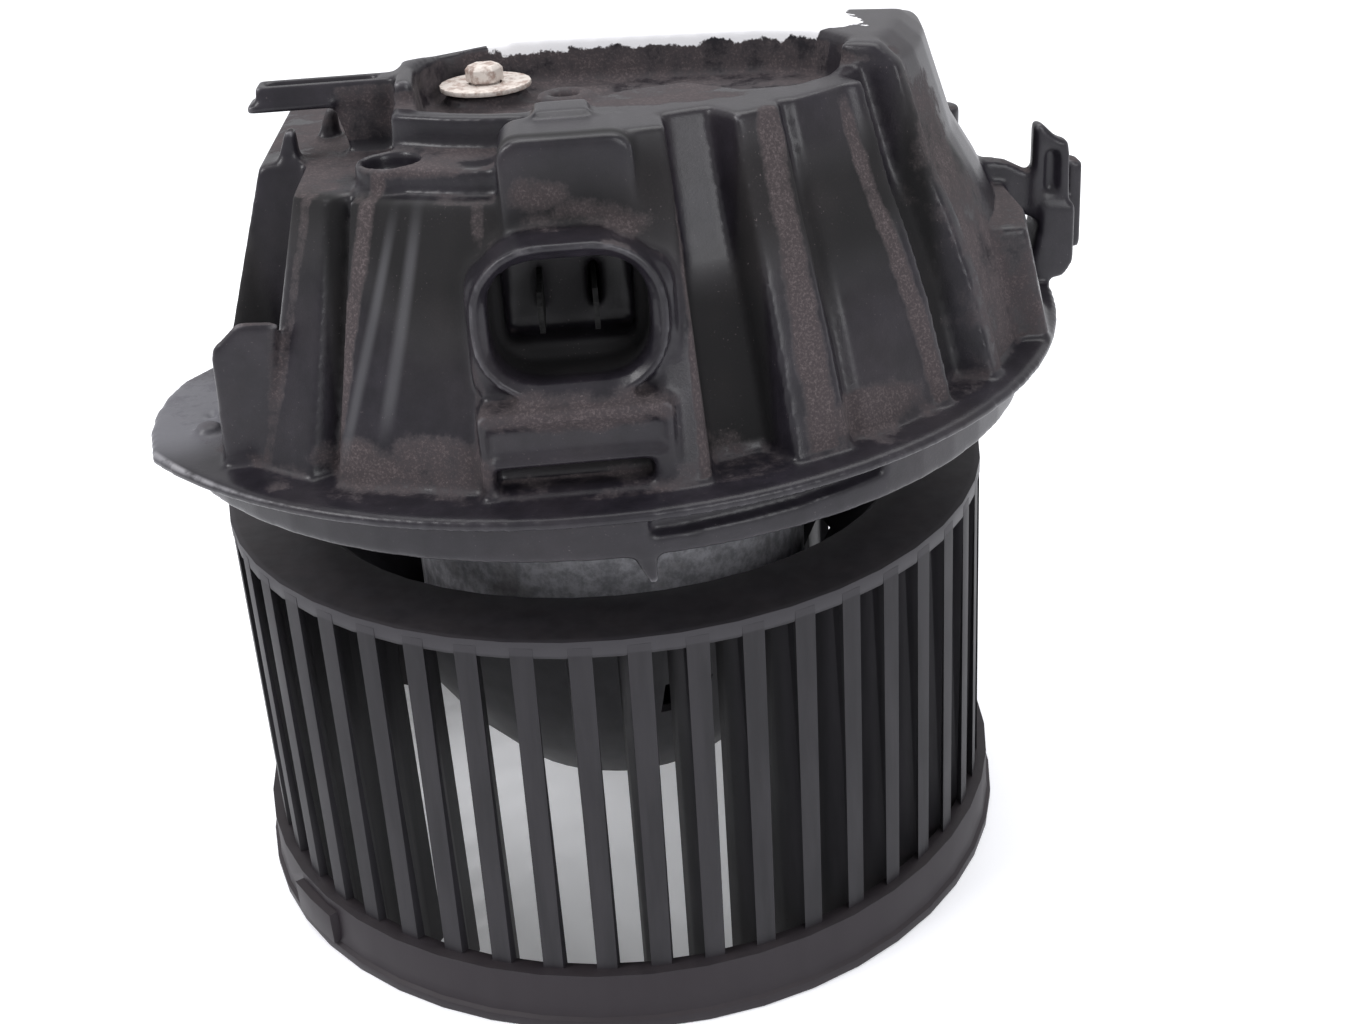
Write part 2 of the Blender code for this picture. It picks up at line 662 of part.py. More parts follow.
def brush_plate():
    """Insulating card under the lid with a guide for each brush."""
    top = brush_plate_top()
    bottom = top - BRUSH_PLATE_THICKNESS
    card = revolve([(BRUSH_PLATE_BORE, bottom), (BRUSH_PLATE_RADIUS, bottom), (BRUSH_PLATE_RADIUS, top),
                    (BRUSH_PLATE_BORE, top)], 30)
    guides = []
    channels = []
    for azimuth in (0.0, 180.0):
        low, high = guide_channel(GAP + GUIDE_WALL)
        guide = box((GUIDE_INNER, low[0], low[1]), (GUIDE_OUTER, high[0], max(high[1], bottom + OVERLAP)))
        guides.append(turned(guide, azimuth))
        low, high = guide_channel(GAP)
        channel = box((GUIDE_INNER - MM, low[0], low[1]), (GUIDE_OUTER - GUIDE_WALL, high[0], high[1]))
        channels.append(turned(channel, azimuth))
    return node("brush_plate", cut(add(card, gather(guides)), gather(channels)), CARD)


def brush_reach():
    start = COMMUTATOR_RADIUS + GAP
    return start, start + BRUSH_LENGTH


def brush(name, azimuth):
    low, high = guide_channel(0.0)
    start, end = brush_reach()
    return node(name, turned(box((start, low[0], low[1]), (end, high[0], high[1])), azimuth), CARBON)


def brush_spring(name, azimuth):
    """Compression coil between the brush and the closed end of its guide."""
    start = brush_reach()[1] + GAP + SPRING_WIRE
    end = GUIDE_OUTER - GUIDE_WALL - GAP - SPRING_WIRE
    coil_radius = BRUSH_HEIGHT / 2 - SPRING_WIRE - GAP
    sides = 4
    steps = SPRING_TURNS * 9
    rings = []
    for step in range(steps + 1):
        turn = 2 * pi * SPRING_TURNS * step / steps
        along = start + (end - start) * step / steps
        ring = []
        for side in range(sides):
            around = 2 * pi * side / sides
            radius = coil_radius + SPRING_WIRE * cos(around)
            height = brush_axis_height() + radius * sin(turn)
            ring.append((along + SPRING_WIRE * sin(around), radius * cos(turn), height))
        rings.append(ring)
    return node(name, turned(loft(rings), azimuth), STEEL)


def magnet(name, azimuth):
    outer = CAN_RADIUS - CAN_WALL - GAP
    inner = outer - MAGNET_THICKNESS
    bottom = CORE_BOTTOM - MAGNET_OVERHANG
    top = CORE_TOP + MAGNET_OVERHANG
    profile = [(inner, bottom), (outer, bottom), (outer, top), (inner, top)]
    arc = revolve(profile, 16, azimuth - MAGNET_HALF_ANGLE, 2 * MAGNET_HALF_ANGLE)
    return node(name, arc, FERRITE)


def damper(name, bottom):
    """Rubber ring that carries the can in the housing's sleeve."""
    inner = CAN_RADIUS + GAP
    outer = inner + DAMPER_WALL
    top = bottom + DAMPER_HEIGHT
    return node(name, revolve([(inner, bottom), (outer, bottom), (outer, top), (inner, top)], 32), RUBBER)


def wall_stretches():
    stretches = list(WALL_PLAN)
    azimuth = HIDDEN_START
    while azimuth < HIDDEN_END:
        stretches.append((azimuth, HIDDEN_COLUMN_DEPTH))
        stretches.append((azimuth + HIDDEN_COLUMN, HIDDEN_PANEL_DEPTH))
        azimuth += HIDDEN_PITCH
    return stretches


def bell_ring(z, inset=0.0, waist=0.0):
    """Outline of the ribbed wall at one height: arcs of different depth joined by steep flanks.

    The waist draws the wall in towards the right side, where the bell isn't a plain cone.
    """
    envelope = BELL_RADIUS - BELL_DRAFT * (z - FLANGE_TOP) - inset
    ring = []
    stretches = wall_stretches()
    for index, (start, depth) in enumerate(stretches):
        end = stretches[index + 1][0] if index + 1 < len(stretches) else stretches[0][0] + 360.0
        start += FLANK_TURN
        end -= FLANK_TURN
        steps = max(1, ceil((end - start) / 8.5))
        for step in range(steps + 1):
            azimuth = start + (end - start) * step / steps
            facing_right = max(0.0, cos(radians(azimuth))) ** 2
            ring.append(tuple(polar(envelope - depth * MM - waist * facing_right, azimuth, z)))
    return ring


def bell():
    edge = 3.1 * MM
    levels = [
        (BELL_FOOT, 0.0, -0.6), (FLANGE_TOP + 16.5 * MM, 0.0, -1.3), (FLANGE_TOP + 26.0 * MM, 0.0, -0.2),
        (FLANGE_TOP + 34.0 * MM, 0.0, 2.2), (BELL_TOP - edge, 0.0, 2.4), (BELL_TOP, 3.0, 2.4),
    ]
    return loft([bell_ring(z, inset * MM, waist * MM) for z, inset, waist in levels], twisted=True)


def sector(inner, outer, start, end, bottom, top):
    """Ring-shaped block between two azimuths."""
    steps = max(2, ceil((end - start) / 7.5))
    profile = [(inner, bottom), (outer, bottom), (outer, top), (inner, top)]
    return revolve(profile, steps, start, end - start)


def left_cuts():
    """The left flank is flat, its front corner is set back, and its top is lower than the rest."""
    base = FLANGE_TOP - FLANGE_PLATE
    roof = BELL_TOP + 5.0 * MM
    rise = roof - base
    reach = BELL_RADIUS + 10.0 * MM
    flat_top = LEFT_WALL_X + LEFT_DRAFT * rise
    flank = prism(
        [(-reach, -reach), (LEFT_WALL_X, -reach), (LEFT_WALL_X, reach), (-reach, reach)], base, roof,
        [(-reach, -reach), (flat_top, -reach), (flat_top, reach), (-reach, reach)],
    )
    block_x = LEFT_WALL_X + 10.6 * MM
    shoulder_y = -BELL_RADIUS / 2
    block_top = block_x + 0.25 * rise
    shoulder_top = shoulder_y + 0.14 * rise
    corner = prism(
        [(-reach, -reach), (block_x, -reach), (block_x, shoulder_y), (-reach, shoulder_y)], base, roof,
        [(-reach, -reach), (block_top, -reach), (block_top, shoulder_top), (-reach, shoulder_top)],
    )
    riser_top = PLATEAU_X + 2.0 * MM
    low_top = prism(
        [(-reach, -reach), (PLATEAU_X, -reach), (PLATEAU_X, reach), (-reach, reach)], LEFT_TOP, roof,
        [(-reach, -reach), (riser_top, -reach), (riser_top, reach), (-reach, reach)],
    )
    return [flank, corner, low_top, back_slope(5.0 * MM, 74.4, 0.24), back_slope(-6.2 * MM, 120.4, 0.27)]


def back_slope(distance, azimuth, slope):
    """Wedge that lets the top fall away to the back, beyond a line at some distance from the axis."""
    run = 1.5 * BELL_RADIUS
    near = distance - 10.0 * MM
    crest = BELL_TOP + 10.0 * MM * slope
    low = BELL_TOP - run * slope
    roof = BELL_TOP + 12.0 * MM
    profile = [(near, crest), (distance + run, low), (distance + run, roof), (near, roof)]
    return turned(loft([[(x, y, z) for x, z in profile] for y in (-run, run)]), azimuth)


def front_cuts():
    """Ledges stepped down in front of the plateau, and the bay that holds the screw."""
    over = BELL_TOP + 5.0 * MM
    reach = BELL_RADIUS + 10.0 * MM
    panel_ledge = sector(BELL_RADIUS - 18.0 * MM, reach, -141.0, -100.5, LEFT_TOP, over)
    curb_ledge = sector(BELL_RADIUS - 28.0 * MM, reach, -143.0, -98.5, CURB_TOP, over)
    step_back = BELL_RADIUS - 42.0 * MM
    step_front = BELL_RADIUS - 51.4 * MM
    front = prism(
        [(-reach, -step_back), (-20.0 * MM, -step_back), (0.0, -step_front - 1.4 * MM),
         (36.0 * MM, -step_front), (reach, 8.0 * MM - BELL_RADIUS), (reach, -reach), (-reach, -reach)],
        FRONT_TOP, over,
    )
    outline = []
    for azimuth, inset in ((-121, 31.0), (-113, 30.6), (-105, 30.4), (-98, 31.0), (-90, 34.5), (-80, 40.0),
                           (-64, 39.5), (-59, 28.0), (-52, 24.0), (-44, 23.5)):
        outline.append(tuple(polar(BELL_RADIUS - inset * MM, azimuth).xy))
    for inset, y in ((35.0, -30.0), (39.0, -21.0), (47.0, -17.5)):
        outline.append((BELL_RADIUS - inset * MM, y * MM))
    screw = polar(SCREW_RING_RADIUS, SCREW_AZIMUTH)
    for x, y in ((14.3, 9.9), (0.3, 11.4), (-8.2, 7.4), (-11.7, -4.1)):
        outline.append((screw.x + x * MM, screw.y + y * MM))
    middle = (6.0 * MM, -31.0 * MM)
    floor = [(middle[0] + 0.95 * (x - middle[0]), middle[1] + 0.95 * (y - middle[1])) for x, y in outline]
    bay = prism(floor, BAY_FLOOR, over, outline)
    return [front, curb_ledge, panel_ledge, bay]


def lip_outline():
    """Plan of the thin lip: a circle a little off the motor's axis, with an ear on its flat left side."""
    centre_x, centre_y = FLANGE_OFFSET
    steps = 60
    points = []
    for step in range(steps + 1):
        azimuth = radians(-143.0 + 270.0 * step / steps)
        points.append((centre_x + FLANGE_RADIUS * cos(azimuth), centre_y + FLANGE_RADIUS * sin(azimuth)))
    points.append((LEFT_WALL_X - LIP_EDGE, points[-1][1] - 4.0 * MM))
    for out, y in ((2.6, -11.0), (5.2, -14.6), (8.7, -19.9), (10.4, -27.0), (10.8, -34.0), (10.2, -41.0)):
        points.append((LEFT_WALL_X - out * MM, y * MM))
    return points


def flange():
    """Thin lip over a plug-in skirt that carries three bayonet slots and their stop teeth."""
    lip = prism(lip_outline(), FLANGE_TOP - FLANGE_PLATE, FLANGE_TOP)
    inner = SKIRT_RADIUS - SKIRT_WALL
    hollow = sleeve_radius() - 2.0 * MM
    sleeve = sleeve_radius() + SLEEVE_WALL
    profile = [
        (hollow, SLEEVE_BOTTOM), (sleeve, SLEEVE_BOTTOM), (sleeve, WEB_BOTTOM), (inner, WEB_BOTTOM),
        (inner, SKIRT_BOTTOM), (SKIRT_RADIUS, SKIRT_BOTTOM), (SKIRT_RADIUS, SKIRT_TOP), (hollow, SKIRT_TOP),
    ]
    skirt = revolve(profile, 60, 3.0)
    slots = []
    teeth = []
    for index in range(RAMP_COUNT):
        turn = RAMP_PITCH * index
        slots.append(turned(ramp_slot(), turn))
        teeth.append(turned(stop_tooth(), turn))
    flat = LEFT_WALL_X - 2.0 * MM
    reach = FLANGE_RADIUS + 10.0 * MM
    beyond = box((-reach, -reach, TOOTH_BOTTOM - MM), (flat, reach, FLANGE_TOP + MM))
    half = (SKIRT_RADIUS**2 - flat**2) ** 0.5
    side = box((flat + GAP, -half, SKIRT_BOTTOM + GAP), (flat + SKIRT_WALL, half, SKIRT_TOP - GAP))
    skirt = cut(add(skirt, gather(teeth)), gather(slots), beyond)
    return add(skirt, side, lip)


def ramp_slot():
    """Slot under the lip whose floor climbs round the skirt like a coarse thread."""
    inner = SKIRT_RADIUS - RAMP_SLOT_DEPTH
    outer = SKIRT_RADIUS + MM
    steps = 5
    rings = []
    for step in range(steps + 1):
        azimuth = RAMP_START + 0.3 + (RAMP_END - RAMP_START) * step / steps
        low = RAMP_SLOT_BOTTOM + RAMP_SLOT_RISE * step / steps
        corners = ((inner, low), (outer, low), (outer, RAMP_SLOT_TOP), (inner, RAMP_SLOT_TOP))
        rings.append([tuple(polar(radius, azimuth, z)) for radius, z in corners])
    return loft(rings, twisted=True)


def stop_tooth():
    """Tooth below the skirt at the slot's mouth, with a slanting web beside it."""
    root = SKIRT_BOTTOM + 2.1 * MM
    side = [(TOOTH_WIDTH, TOOTH_BOTTOM), (TOOTH_WIDTH, root), (-TOOTH_WEB, root), (0.0, TOOTH_BOTTOM)]
    inner = SKIRT_RADIUS - SKIRT_WALL + 0.5 * MM
    outer = SKIRT_RADIUS - 0.5 * MM
    return turned(loft([[(x, y, z) for y, z in side] for x in (inner, outer)]), RAMP_START)


def sleeve_radius():
    return CAN_RADIUS + GAP + DAMPER_WALL + GAP


def connector_boxes():
    """Boxes over, behind and under the connector shroud, and the shroud itself."""
    inside = 26.0 * MM - BELL_RADIUS
    top = FRONT_TOP + 0.6 * MM
    height = top - CONNECTOR_Z
    upper = facing_front(rounded_rectangle(UPPER_BOX_WIDTH, height, 3.2 * MM), CONNECTOR_X + 1.4 * MM,
                         top - height / 2, CONNECTOR_FACE + UPPER_BOX_SETBACK, inside)
    shroud = facing_front(rounded_rectangle(SHROUD_WIDTH, SHROUD_HEIGHT, SHROUD_CORNER, 6), CONNECTOR_X,
                          CONNECTOR_Z, CONNECTOR_FACE, inside)
    collar_outline = rounded_rectangle(SHROUD_WIDTH + 1.6 * MM, SHROUD_HEIGHT - 3.0 * MM, 4.0 * MM)
    collar = facing_front(collar_outline, CONNECTOR_X + 0.3 * MM, CONNECTOR_Z - 2.4 * MM,
                          CONNECTOR_FACE + 3.2 * MM, inside)
    bottom = FLANGE_TOP - 0.5 * MM
    height = SHELF_TOP - bottom
    shelf = facing_front(rounded_rectangle(SHELF_WIDTH, height, 1.2 * MM, 2), CONNECTOR_X - 0.4 * MM,
                         bottom + height / 2, CONNECTOR_FACE - SHELF_REACH, inside)
    return [upper, shroud, collar, shelf, step_block()]


def shelf_cuts():
    """Sunk panel in the face of the box under the shroud, and the recess below it."""
    front = CONNECTOR_FACE - SHELF_REACH
    middle = CONNECTOR_X - 0.4 * MM
    half = SHELF_WIDTH / 2
    panel = box((middle - half + 1.4 * MM, front - 3.0 * MM, FLANGE_TOP + 6.0 * MM),
                (middle + half - 1.4 * MM, front + 1.1 * MM, SHELF_TOP - 2.3 * MM))
    recess = box((middle - half + 2.0 * MM, front - 3.0 * MM, FLANGE_TOP + 0.9 * MM),
                 (middle + half - 3.4 * MM, front + 4.6 * MM, FLANGE_TOP + 4.6 * MM))
    return [panel, recess]


def step_block():
    """Small block on the front ledge between the bay and the connector's upper box."""
    half = 4.0 * MM
    middle = CONNECTOR_X + 1.3 * MM
    back = 31.0 * MM - BELL_RADIUS
    front = back - 7.0 * MM
    return box((middle - half, front, FRONT_TOP - 2.0 * MM), (middle + half, back, FRONT_TOP + 1.6 * MM))


def connector_hollows():
    """Rim recess, mouth, socket and terminal slots, one behind the other."""
    rim = facing_front(
        rounded_rectangle(SHROUD_WIDTH - 2 * SHROUD_WALL, SHROUD_HEIGHT - 2 * SHROUD_WALL,
                          SHROUD_CORNER - SHROUD_WALL, 6),
        CONNECTOR_X, CONNECTOR_Z, CONNECTOR_FACE - MM, CONNECTOR_FACE + SHROUD_RIM_DEPTH,
    )
    floor = CONNECTOR_FACE + SHROUD_DEPTH
    ledge = CONNECTOR_FACE + SHROUD_RIM_DEPTH - GAP
    mouth = facing_front(rounded_rectangle(MOUTH_WIDTH, MOUTH_HEIGHT, MOUTH_CORNER), CONNECTOR_X,
                         CONNECTOR_Z, ledge, floor)
    socket = facing_front(rounded_rectangle(SOCKET_WIDTH, SOCKET_HEIGHT, MM, 2), CONNECTOR_X, CONNECTOR_Z,
                          floor - MM, floor + SOCKET_DEPTH)
    slots = []
    for side in (-1, 1):
        low, high = terminal_corners(side)
        behind = high[1] + 8.8 * MM
        slots.append(box((low[0] - GAP, low[1], low[2] - GAP), (high[0] + GAP, behind, high[2] + GAP)))
    return [rim, mouth, socket, gather(slots)]


def terminal_corners(side):
    middle = CONNECTOR_X + side * TERMINAL_PITCH / 2
    tip = CONNECTOR_FACE + TERMINAL_SETBACK
    low = (middle - TERMINAL_THICKNESS / 2, tip, CONNECTOR_Z - TERMINAL_WIDTH / 2)
    high = (middle + TERMINAL_THICKNESS / 2, -CAN_RADIUS - GAP, CONNECTOR_Z + TERMINAL_WIDTH / 2)
    return low, high


def terminal(name, side):
    """Flat blade terminal with a chamfered tip, running in to the edge of the motor."""
    low, high = terminal_corners(side)
    tip = 1.5 * MM
    half_tip = 0.25 * TERMINAL_WIDTH
    middle = (low[2] + high[2]) / 2
    outline = [(low[1], middle - half_tip), (low[1] + tip, low[2]), (high[1], low[2]), (high[1], high[2]),
               (low[1] + tip, high[2]), (low[1], middle + half_tip)]
    blade_shape = loft([[(x, y, z) for y, z in outline] for x in (low[0], high[0])])
    return node(name, blade_shape, STEEL)


def screw_places():
    """Azimuth and seat height of the front and the rear motor screw."""
    return ((SCREW_AZIMUTH, PEDESTAL_TOP), (SCREW_AZIMUTH + 180.0, REAR_PEDESTAL_TOP))


def pedestals():
    """Raised seats for the two motor screws, and the hollow boss beside the first one."""
    seats = []
    for azimuth, top in screw_places():
        seat = revolve_plug(WASHER_RADIUS - 0.8 * MM, top - 4.0 * MM, top, 24)
        seats.append(moved(seat, Matrix.Translation(polar(SCREW_RING_RADIUS, azimuth))))
    foot = BAY_FLOOR - 2.0 * MM
    rim = FRONT_TOP + 0.9 * MM
    cup = BAY_FLOOR + 0.5 * MM
    profile = [(0, foot), (BOSS_RADIUS, foot), (BOSS_RADIUS, rim), (BOSS_BORE, rim), (BOSS_BORE, cup),
               (0, cup)]
    boss = solid_revolve(profile, 20)
    seats.append(moved(boss, Matrix.Translation(polar(BELL_RADIUS - BOSS_INSET, BOSS_AZIMUTH))))
    return gather(seats)


def screw_holes():
    holes = []
    for azimuth, top in screw_places():
        hole = revolve_plug(SCREW_SHANK_RADIUS + GAP, CAN_TOP, top + 10.0 * MM, 12)
        holes.append(moved(hole, Matrix.Translation(polar(SCREW_RING_RADIUS, azimuth))))
    return gather(holes)


def rear_well():
    """Round well in the plateau for the second motor screw."""
    well = revolve_plug(WASHER_RADIUS + 2.0 * MM, REAR_PEDESTAL_TOP - 2.0 * MM, BELL_TOP + 5.0 * MM, 28)
    return moved(well, Matrix.Translation(polar(SCREW_RING_RADIUS, SCREW_AZIMUTH + 180.0)))


def motor_pocket():
    """Stepped bore from below: sleeve for the dampers, then the bearing tower."""
    bottom = SLEEVE_BOTTOM - MM
    top = CAN_TOP + GAP + BRACKET_THICKNESS + POCKET_HEADROOM
    ceiling = SHAFT_TOP + 1.5 * MM
    tower = BRACKET_TOWER_RADIUS + 1.2 * MM
    sleeve = sleeve_radius()
    profile = [(0, bottom), (sleeve, bottom), (sleeve, top), (tower, top), (tower, ceiling), (0, ceiling)]
    return solid_revolve(profile, 40)


def left_fittings():
    """Bracket standing on the lip, the ear's button, the two snap hooks and the side arm."""
    ear_button = moved(revolve_plug(2.1 * MM, FITTING_FOOT, FLANGE_TOP + 1.5 * MM, 16),
                       Matrix.Translation(Vector((LEFT_WALL_X, -43.6 * MM, 0.0))))
    hooks = gather([snap_hook(20.0, -31.6, 4.0, 5.0), snap_hook(25.2, -19.0, 4.4, 5.4)])
    return [ear_button, fin_bracket(), hooks, side_arm()]


def fin_bracket():
    """Upright face that widens towards its top, with a wing running back along its left edge."""
    wall = 1.9 * MM
    corner = polar(BELL_RADIUS + 3.4 * MM, -135.4)
    heel = (LEFT_WALL_X + 3.0 * MM, corner.y + 11.6 * MM)
    top = FLANGE_TOP + 23.4 * MM
    face = []
    for out, height in ((0.0, FITTING_FOOT), (6.8, FITTING_FOOT), (12.0, top - 0.5 * MM), (5.9, top),
                        (1.2, top - 4.1 * MM)):
        face.append((corner.x + out * MM, height))
    front = loft([[(x, y, z) for x, z in face] for y in (corner.y, corner.y + wall)])
    lean = 1.4 * MM
    wing_top = top - 5.2 * MM
    near = corner.y + GAP
    heel_top = wing_top - 4.0 * MM
    heel_lean = lean * (heel_top - BELL_FOOT) / (wing_top - BELL_FOOT)
    side = [(corner.x, near, BELL_FOOT), (heel[0], heel[1], BELL_FOOT),
            (heel[0] + heel_lean, heel[1], heel_top), (corner.x + lean, near, wing_top)]
    wing = loft([side, [(x + wall, y, z) for x, y, z in side]])
    return add(front, wing)


def snap_hook(out, y, width, height):
    """Wedge on the low left top, given by its distance from the flat flank."""
    x = LEFT_WALL_X + out * MM
    y *= MM
    width *= MM
    foot = 1.8 * MM
    tip = 1.5 * MM
    left = x - 1.6 * MM
    right = x - 0.1 * MM
    return prism(
        [(x - width, y - foot), (x, y - foot), (x, y + foot), (x - width, y + foot)],
        LEFT_TOP - MM, LEFT_TOP + height * MM,
        [(left, y - tip), (right, y - tip), (right, y + tip), (left, y + tip)],
    )


def side_arm():
    """Grooved arm that sticks out over the low left top, held by a slanting foot."""
    root = PLATEAU_X + 2.6 * MM
    tip = LEFT_WALL_X + 14.4 * MM
    low = LEFT_TOP + 8.2 * MM
    high = LEFT_TOP + 11.6 * MM
    arm = box((tip, -31.0 * MM, low), (root, -25.5 * MM, high))
    lip = box((tip - 1.6 * MM, -31.8 * MM, low - 0.6 * MM), (tip + 12.0 * MM, -24.7 * MM, low + 0.7 * MM))
    inner = root - 1.0 * MM
    foot_tip = tip + 14.0 * MM
    head_tip = foot_tip - 2.6 * MM
    near = -30.6 * MM
    far = -28.4 * MM
    foot = prism(
        [(foot_tip, near), (inner, near), (inner, far), (foot_tip, far)], LEFT_TOP - MM, low + 0.4 * MM,
        [(head_tip, near), (inner, near), (inner, far), (head_tip, far)],
    )
    groove = box((tip + 1.6 * MM, -29.6 * MM, low + 1.6 * MM), (root - 4.6 * MM, -26.9 * MM, high + MM))
    return cut(add(arm, lip, foot), groove)


def ear_cuts():
    """Narrow slot across the lip's ear and the notch at its inner end."""
    x = LEFT_WALL_X
    floor = FLANGE_TOP - 0.9 * MM
    slot = box((x - 14.0 * MM, -34.9 * MM, floor), (x - 1.4 * MM, -34.0 * MM, FLANGE_TOP + MM))
    corners = [(x - 2.2 * MM, -37.4 * MM), (x + 0.4 * MM, -37.4 * MM), (x, -33.4 * MM)]
    notch = prism(corners, FLANGE_TOP - FLANGE_PLATE / 2, FLANGE_TOP + MM)
    return [slot, notch]


def curb_cup():
    """Round open cup standing in the curb on the left ledge, and the hole in the curb that takes it."""
    place = Matrix.Translation(polar(BELL_RADIUS - CURB_CUP_INSET, CURB_CUP_AZIMUTH))
    hole = revolve_plug(CURB_CUP_RADIUS - OVERLAP, LEFT_TOP + GAP, CURB_TOP + MM, 24)
    rim = CURB_TOP + 0.2 * MM
    floor = LEFT_TOP + 0.6 * MM
    bore = CURB_CUP_RADIUS - CURB_CUP_WALL
    profile = [(0, LEFT_TOP - MM), (CURB_CUP_RADIUS, LEFT_TOP - MM), (CURB_CUP_RADIUS, rim), (bore, rim),
               (bore, floor), (0, floor)]
    cup = turned(solid_revolve(profile, 24), 7.5)
    return moved(hole, place), moved(cup, place)


def right_fittings():
    """Step block, tube boss and the sprung locking latch at the flange's right edge."""
    edge = BELL_RADIUS
    inner = edge - 20.0 * MM
    top = FLANGE_TOP + 19.5 * MM
    step = prism(
        [(inner, -34.0 * MM), (edge - 2.0 * MM, -34.0 * MM), (edge + MM, -20.0 * MM), (edge + MM, 0.0),
         (inner, 0.0)],
        FITTING_FOOT, top,
        [(inner - 4.0 * MM, -31.0 * MM), (edge - 6.0 * MM, -31.0 * MM), (edge - 3.6 * MM, -19.8 * MM),
         (edge - 3.6 * MM, 0.0), (inner - 4.0 * MM, 0.0)],
    )
    tube_place = Matrix.Translation(Vector((edge - 10.5 * MM, 17.0 * MM, 0.0)))
    tube = moved(revolve_plug(3.6 * MM, FITTING_FOOT, FLANGE_TOP + 29.0 * MM, 16), tube_place)
    return [step, tube, latch()]


def latch():
    """Arched arm from the bell's right side that carries the finger tab over a stop block."""
    def plate(points, front, back):
        outline = [(BELL_RADIUS + x * MM, FLANGE_TOP + z * MM) for x, z in points]
        return loft([[(x, y * MM, z) for x, z in outline] for y in (front, back)])

    arch = [(-14.0, 14.6), (-4.6, 15.4), (0.3, 13.1), (3.2, 11.7), (3.2, 19.5), (1.7, 20.7), (-3.2, 23.3),
            (-9.0, 24.1), (-14.0, 24.3)]
    arm = plate(arch, -5.4, -1.6)
    tab = plate([(1.8, 14.4), (8.9, 14.4), (8.4, 26.2), (6.0, 27.1), (3.2, 29.9), (1.8, 29.9)], -6.0, -2.0)
    window = plate([(3.9, 17.0), (6.6, 17.0), (6.4, 24.4), (3.9, 25.6)], -7.0, -4.6)
    guard = plate([(9.4, 4.5), (12.8, 4.5), (12.4, 21.0), (9.4, 21.6)], -1.0, 4.0)
    block = [(2.0, 0.6), (8.0, 0.6), (10.0, 3.6), (9.8, 14.6), (3.5, 14.9), (3.2, 11.0), (1.6, 3.0)]
    stop = plate(block, -6.6, 3.0)
    neck = plate([(-2.0, 1.4), (3.0, 1.4), (3.0, 6.0), (-2.0, 6.0)], -5.2, -0.6)
    return cut(add(stop, arm, tab, guard, neck), window)


def motor_housing():
    body = cut(bell(), *left_cuts())
    body = cut(body, *front_cuts())
    hole, cup = curb_cup()
    body = add(cut(body, hole), cup)
    body = add(cut(body, rear_well()), pedestals())
    body = cut(add(body, *connector_boxes()), *shelf_cuts())
    body = add(body, flange())
    body = cut(body, *ear_cuts())
    body = add(body, *left_fittings())
    body = add(body, *right_fittings())
    body = cut(body, motor_pocket(), screw_holes(), *connector_hollows())
    return node("motor_housing", body, BLACK_PLASTIC)


def motor_screw(name, azimuth, pedestal):
    """Hexagon-headed screw with a domed top, standing on its washer."""
    seat = pedestal + GAP + WASHER_THICKNESS + GAP
    head = []
    for index in range(12):
        radius = SCREW_HEAD_RADIUS if index % 2 == 0 else SCREW_HEAD_RADIUS * cos(pi / 6)
        head.append(tuple(polar(radius, 30.0 * index).xy))
    levels = [(seat, 1.0), (seat + 0.75 * SCREW_HEAD_HEIGHT, 1.0), (seat + SCREW_HEAD_HEIGHT, 0.8)]
    crown = loft([[(share * x, share * y, z) for x, y in head] for z, share in levels])
    shank = revolve_plug(SCREW_SHANK_RADIUS, seat - SCREW_LENGTH, seat + MM, 12)
    screw = add(crown, shank)
    return node(name, moved(screw, Matrix.Translation(polar(SCREW_RING_RADIUS, azimuth))), WORN_ZINC)


def screw_washer(name, azimuth, pedestal):
    bore = SCREW_SHANK_RADIUS + GAP
    bottom = pedestal + GAP
    top = bottom + WASHER_THICKNESS
    disc = revolve([(bore, bottom), (WASHER_RADIUS, bottom), (WASHER_RADIUS, top), (bore, top)], 22)
    return node(name, moved(disc, Matrix.Translation(polar(SCREW_RING_RADIUS, azimuth))), WORN_ZINC)


def build():
    blower_wheel()
    wheel_clip()
    motor_shaft()
    armature_core()
    armature_winding()
    commutator()
    thrust_washer("thrust_washer_lower", lower_bearing_bottom() + BEARING_LENGTH + GAP)
    thrust_washer("thrust_washer_upper", upper_bearing_bottom() - GAP - THRUST_THICKNESS)
    motor_can()
    bearing("bearing_lower", lower_bearing_bottom())
    bearing("bearing_upper", upper_bearing_bottom())
    end_bracket()
    brush_plate()
    brush("brush_right", 0.0)
    brush("brush_left", 180.0)
    brush_spring("brush_spring_right", 0.0)
    brush_spring("brush_spring_left", 180.0)
    magnet("magnet_right", 0.0)
    magnet("magnet_left", 180.0)
    damper("damper_lower", SLEEVE_BOTTOM + MM)
    damper("damper_upper", SLEEVE_BOTTOM + MM + DAMPER_SPACING)
    motor_housing()
    terminal("terminal_left", -1)
    terminal("terminal_right", 1)
    motor_screw("motor_screw_front", SCREW_AZIMUTH, PEDESTAL_TOP)
    motor_screw("motor_screw_rear", SCREW_AZIMUTH + 180.0, REAR_PEDESTAL_TOP)
    screw_washer("screw_washer_front", SCREW_AZIMUTH, PEDESTAL_TOP)
    screw_washer("screw_washer_rear", SCREW_AZIMUTH + 180.0, REAR_PEDESTAL_TOP)


build()
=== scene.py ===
import bpy
from math import atan2, cos, degrees, hypot, pi, radians, sin
from mathutils import Matrix, Vector


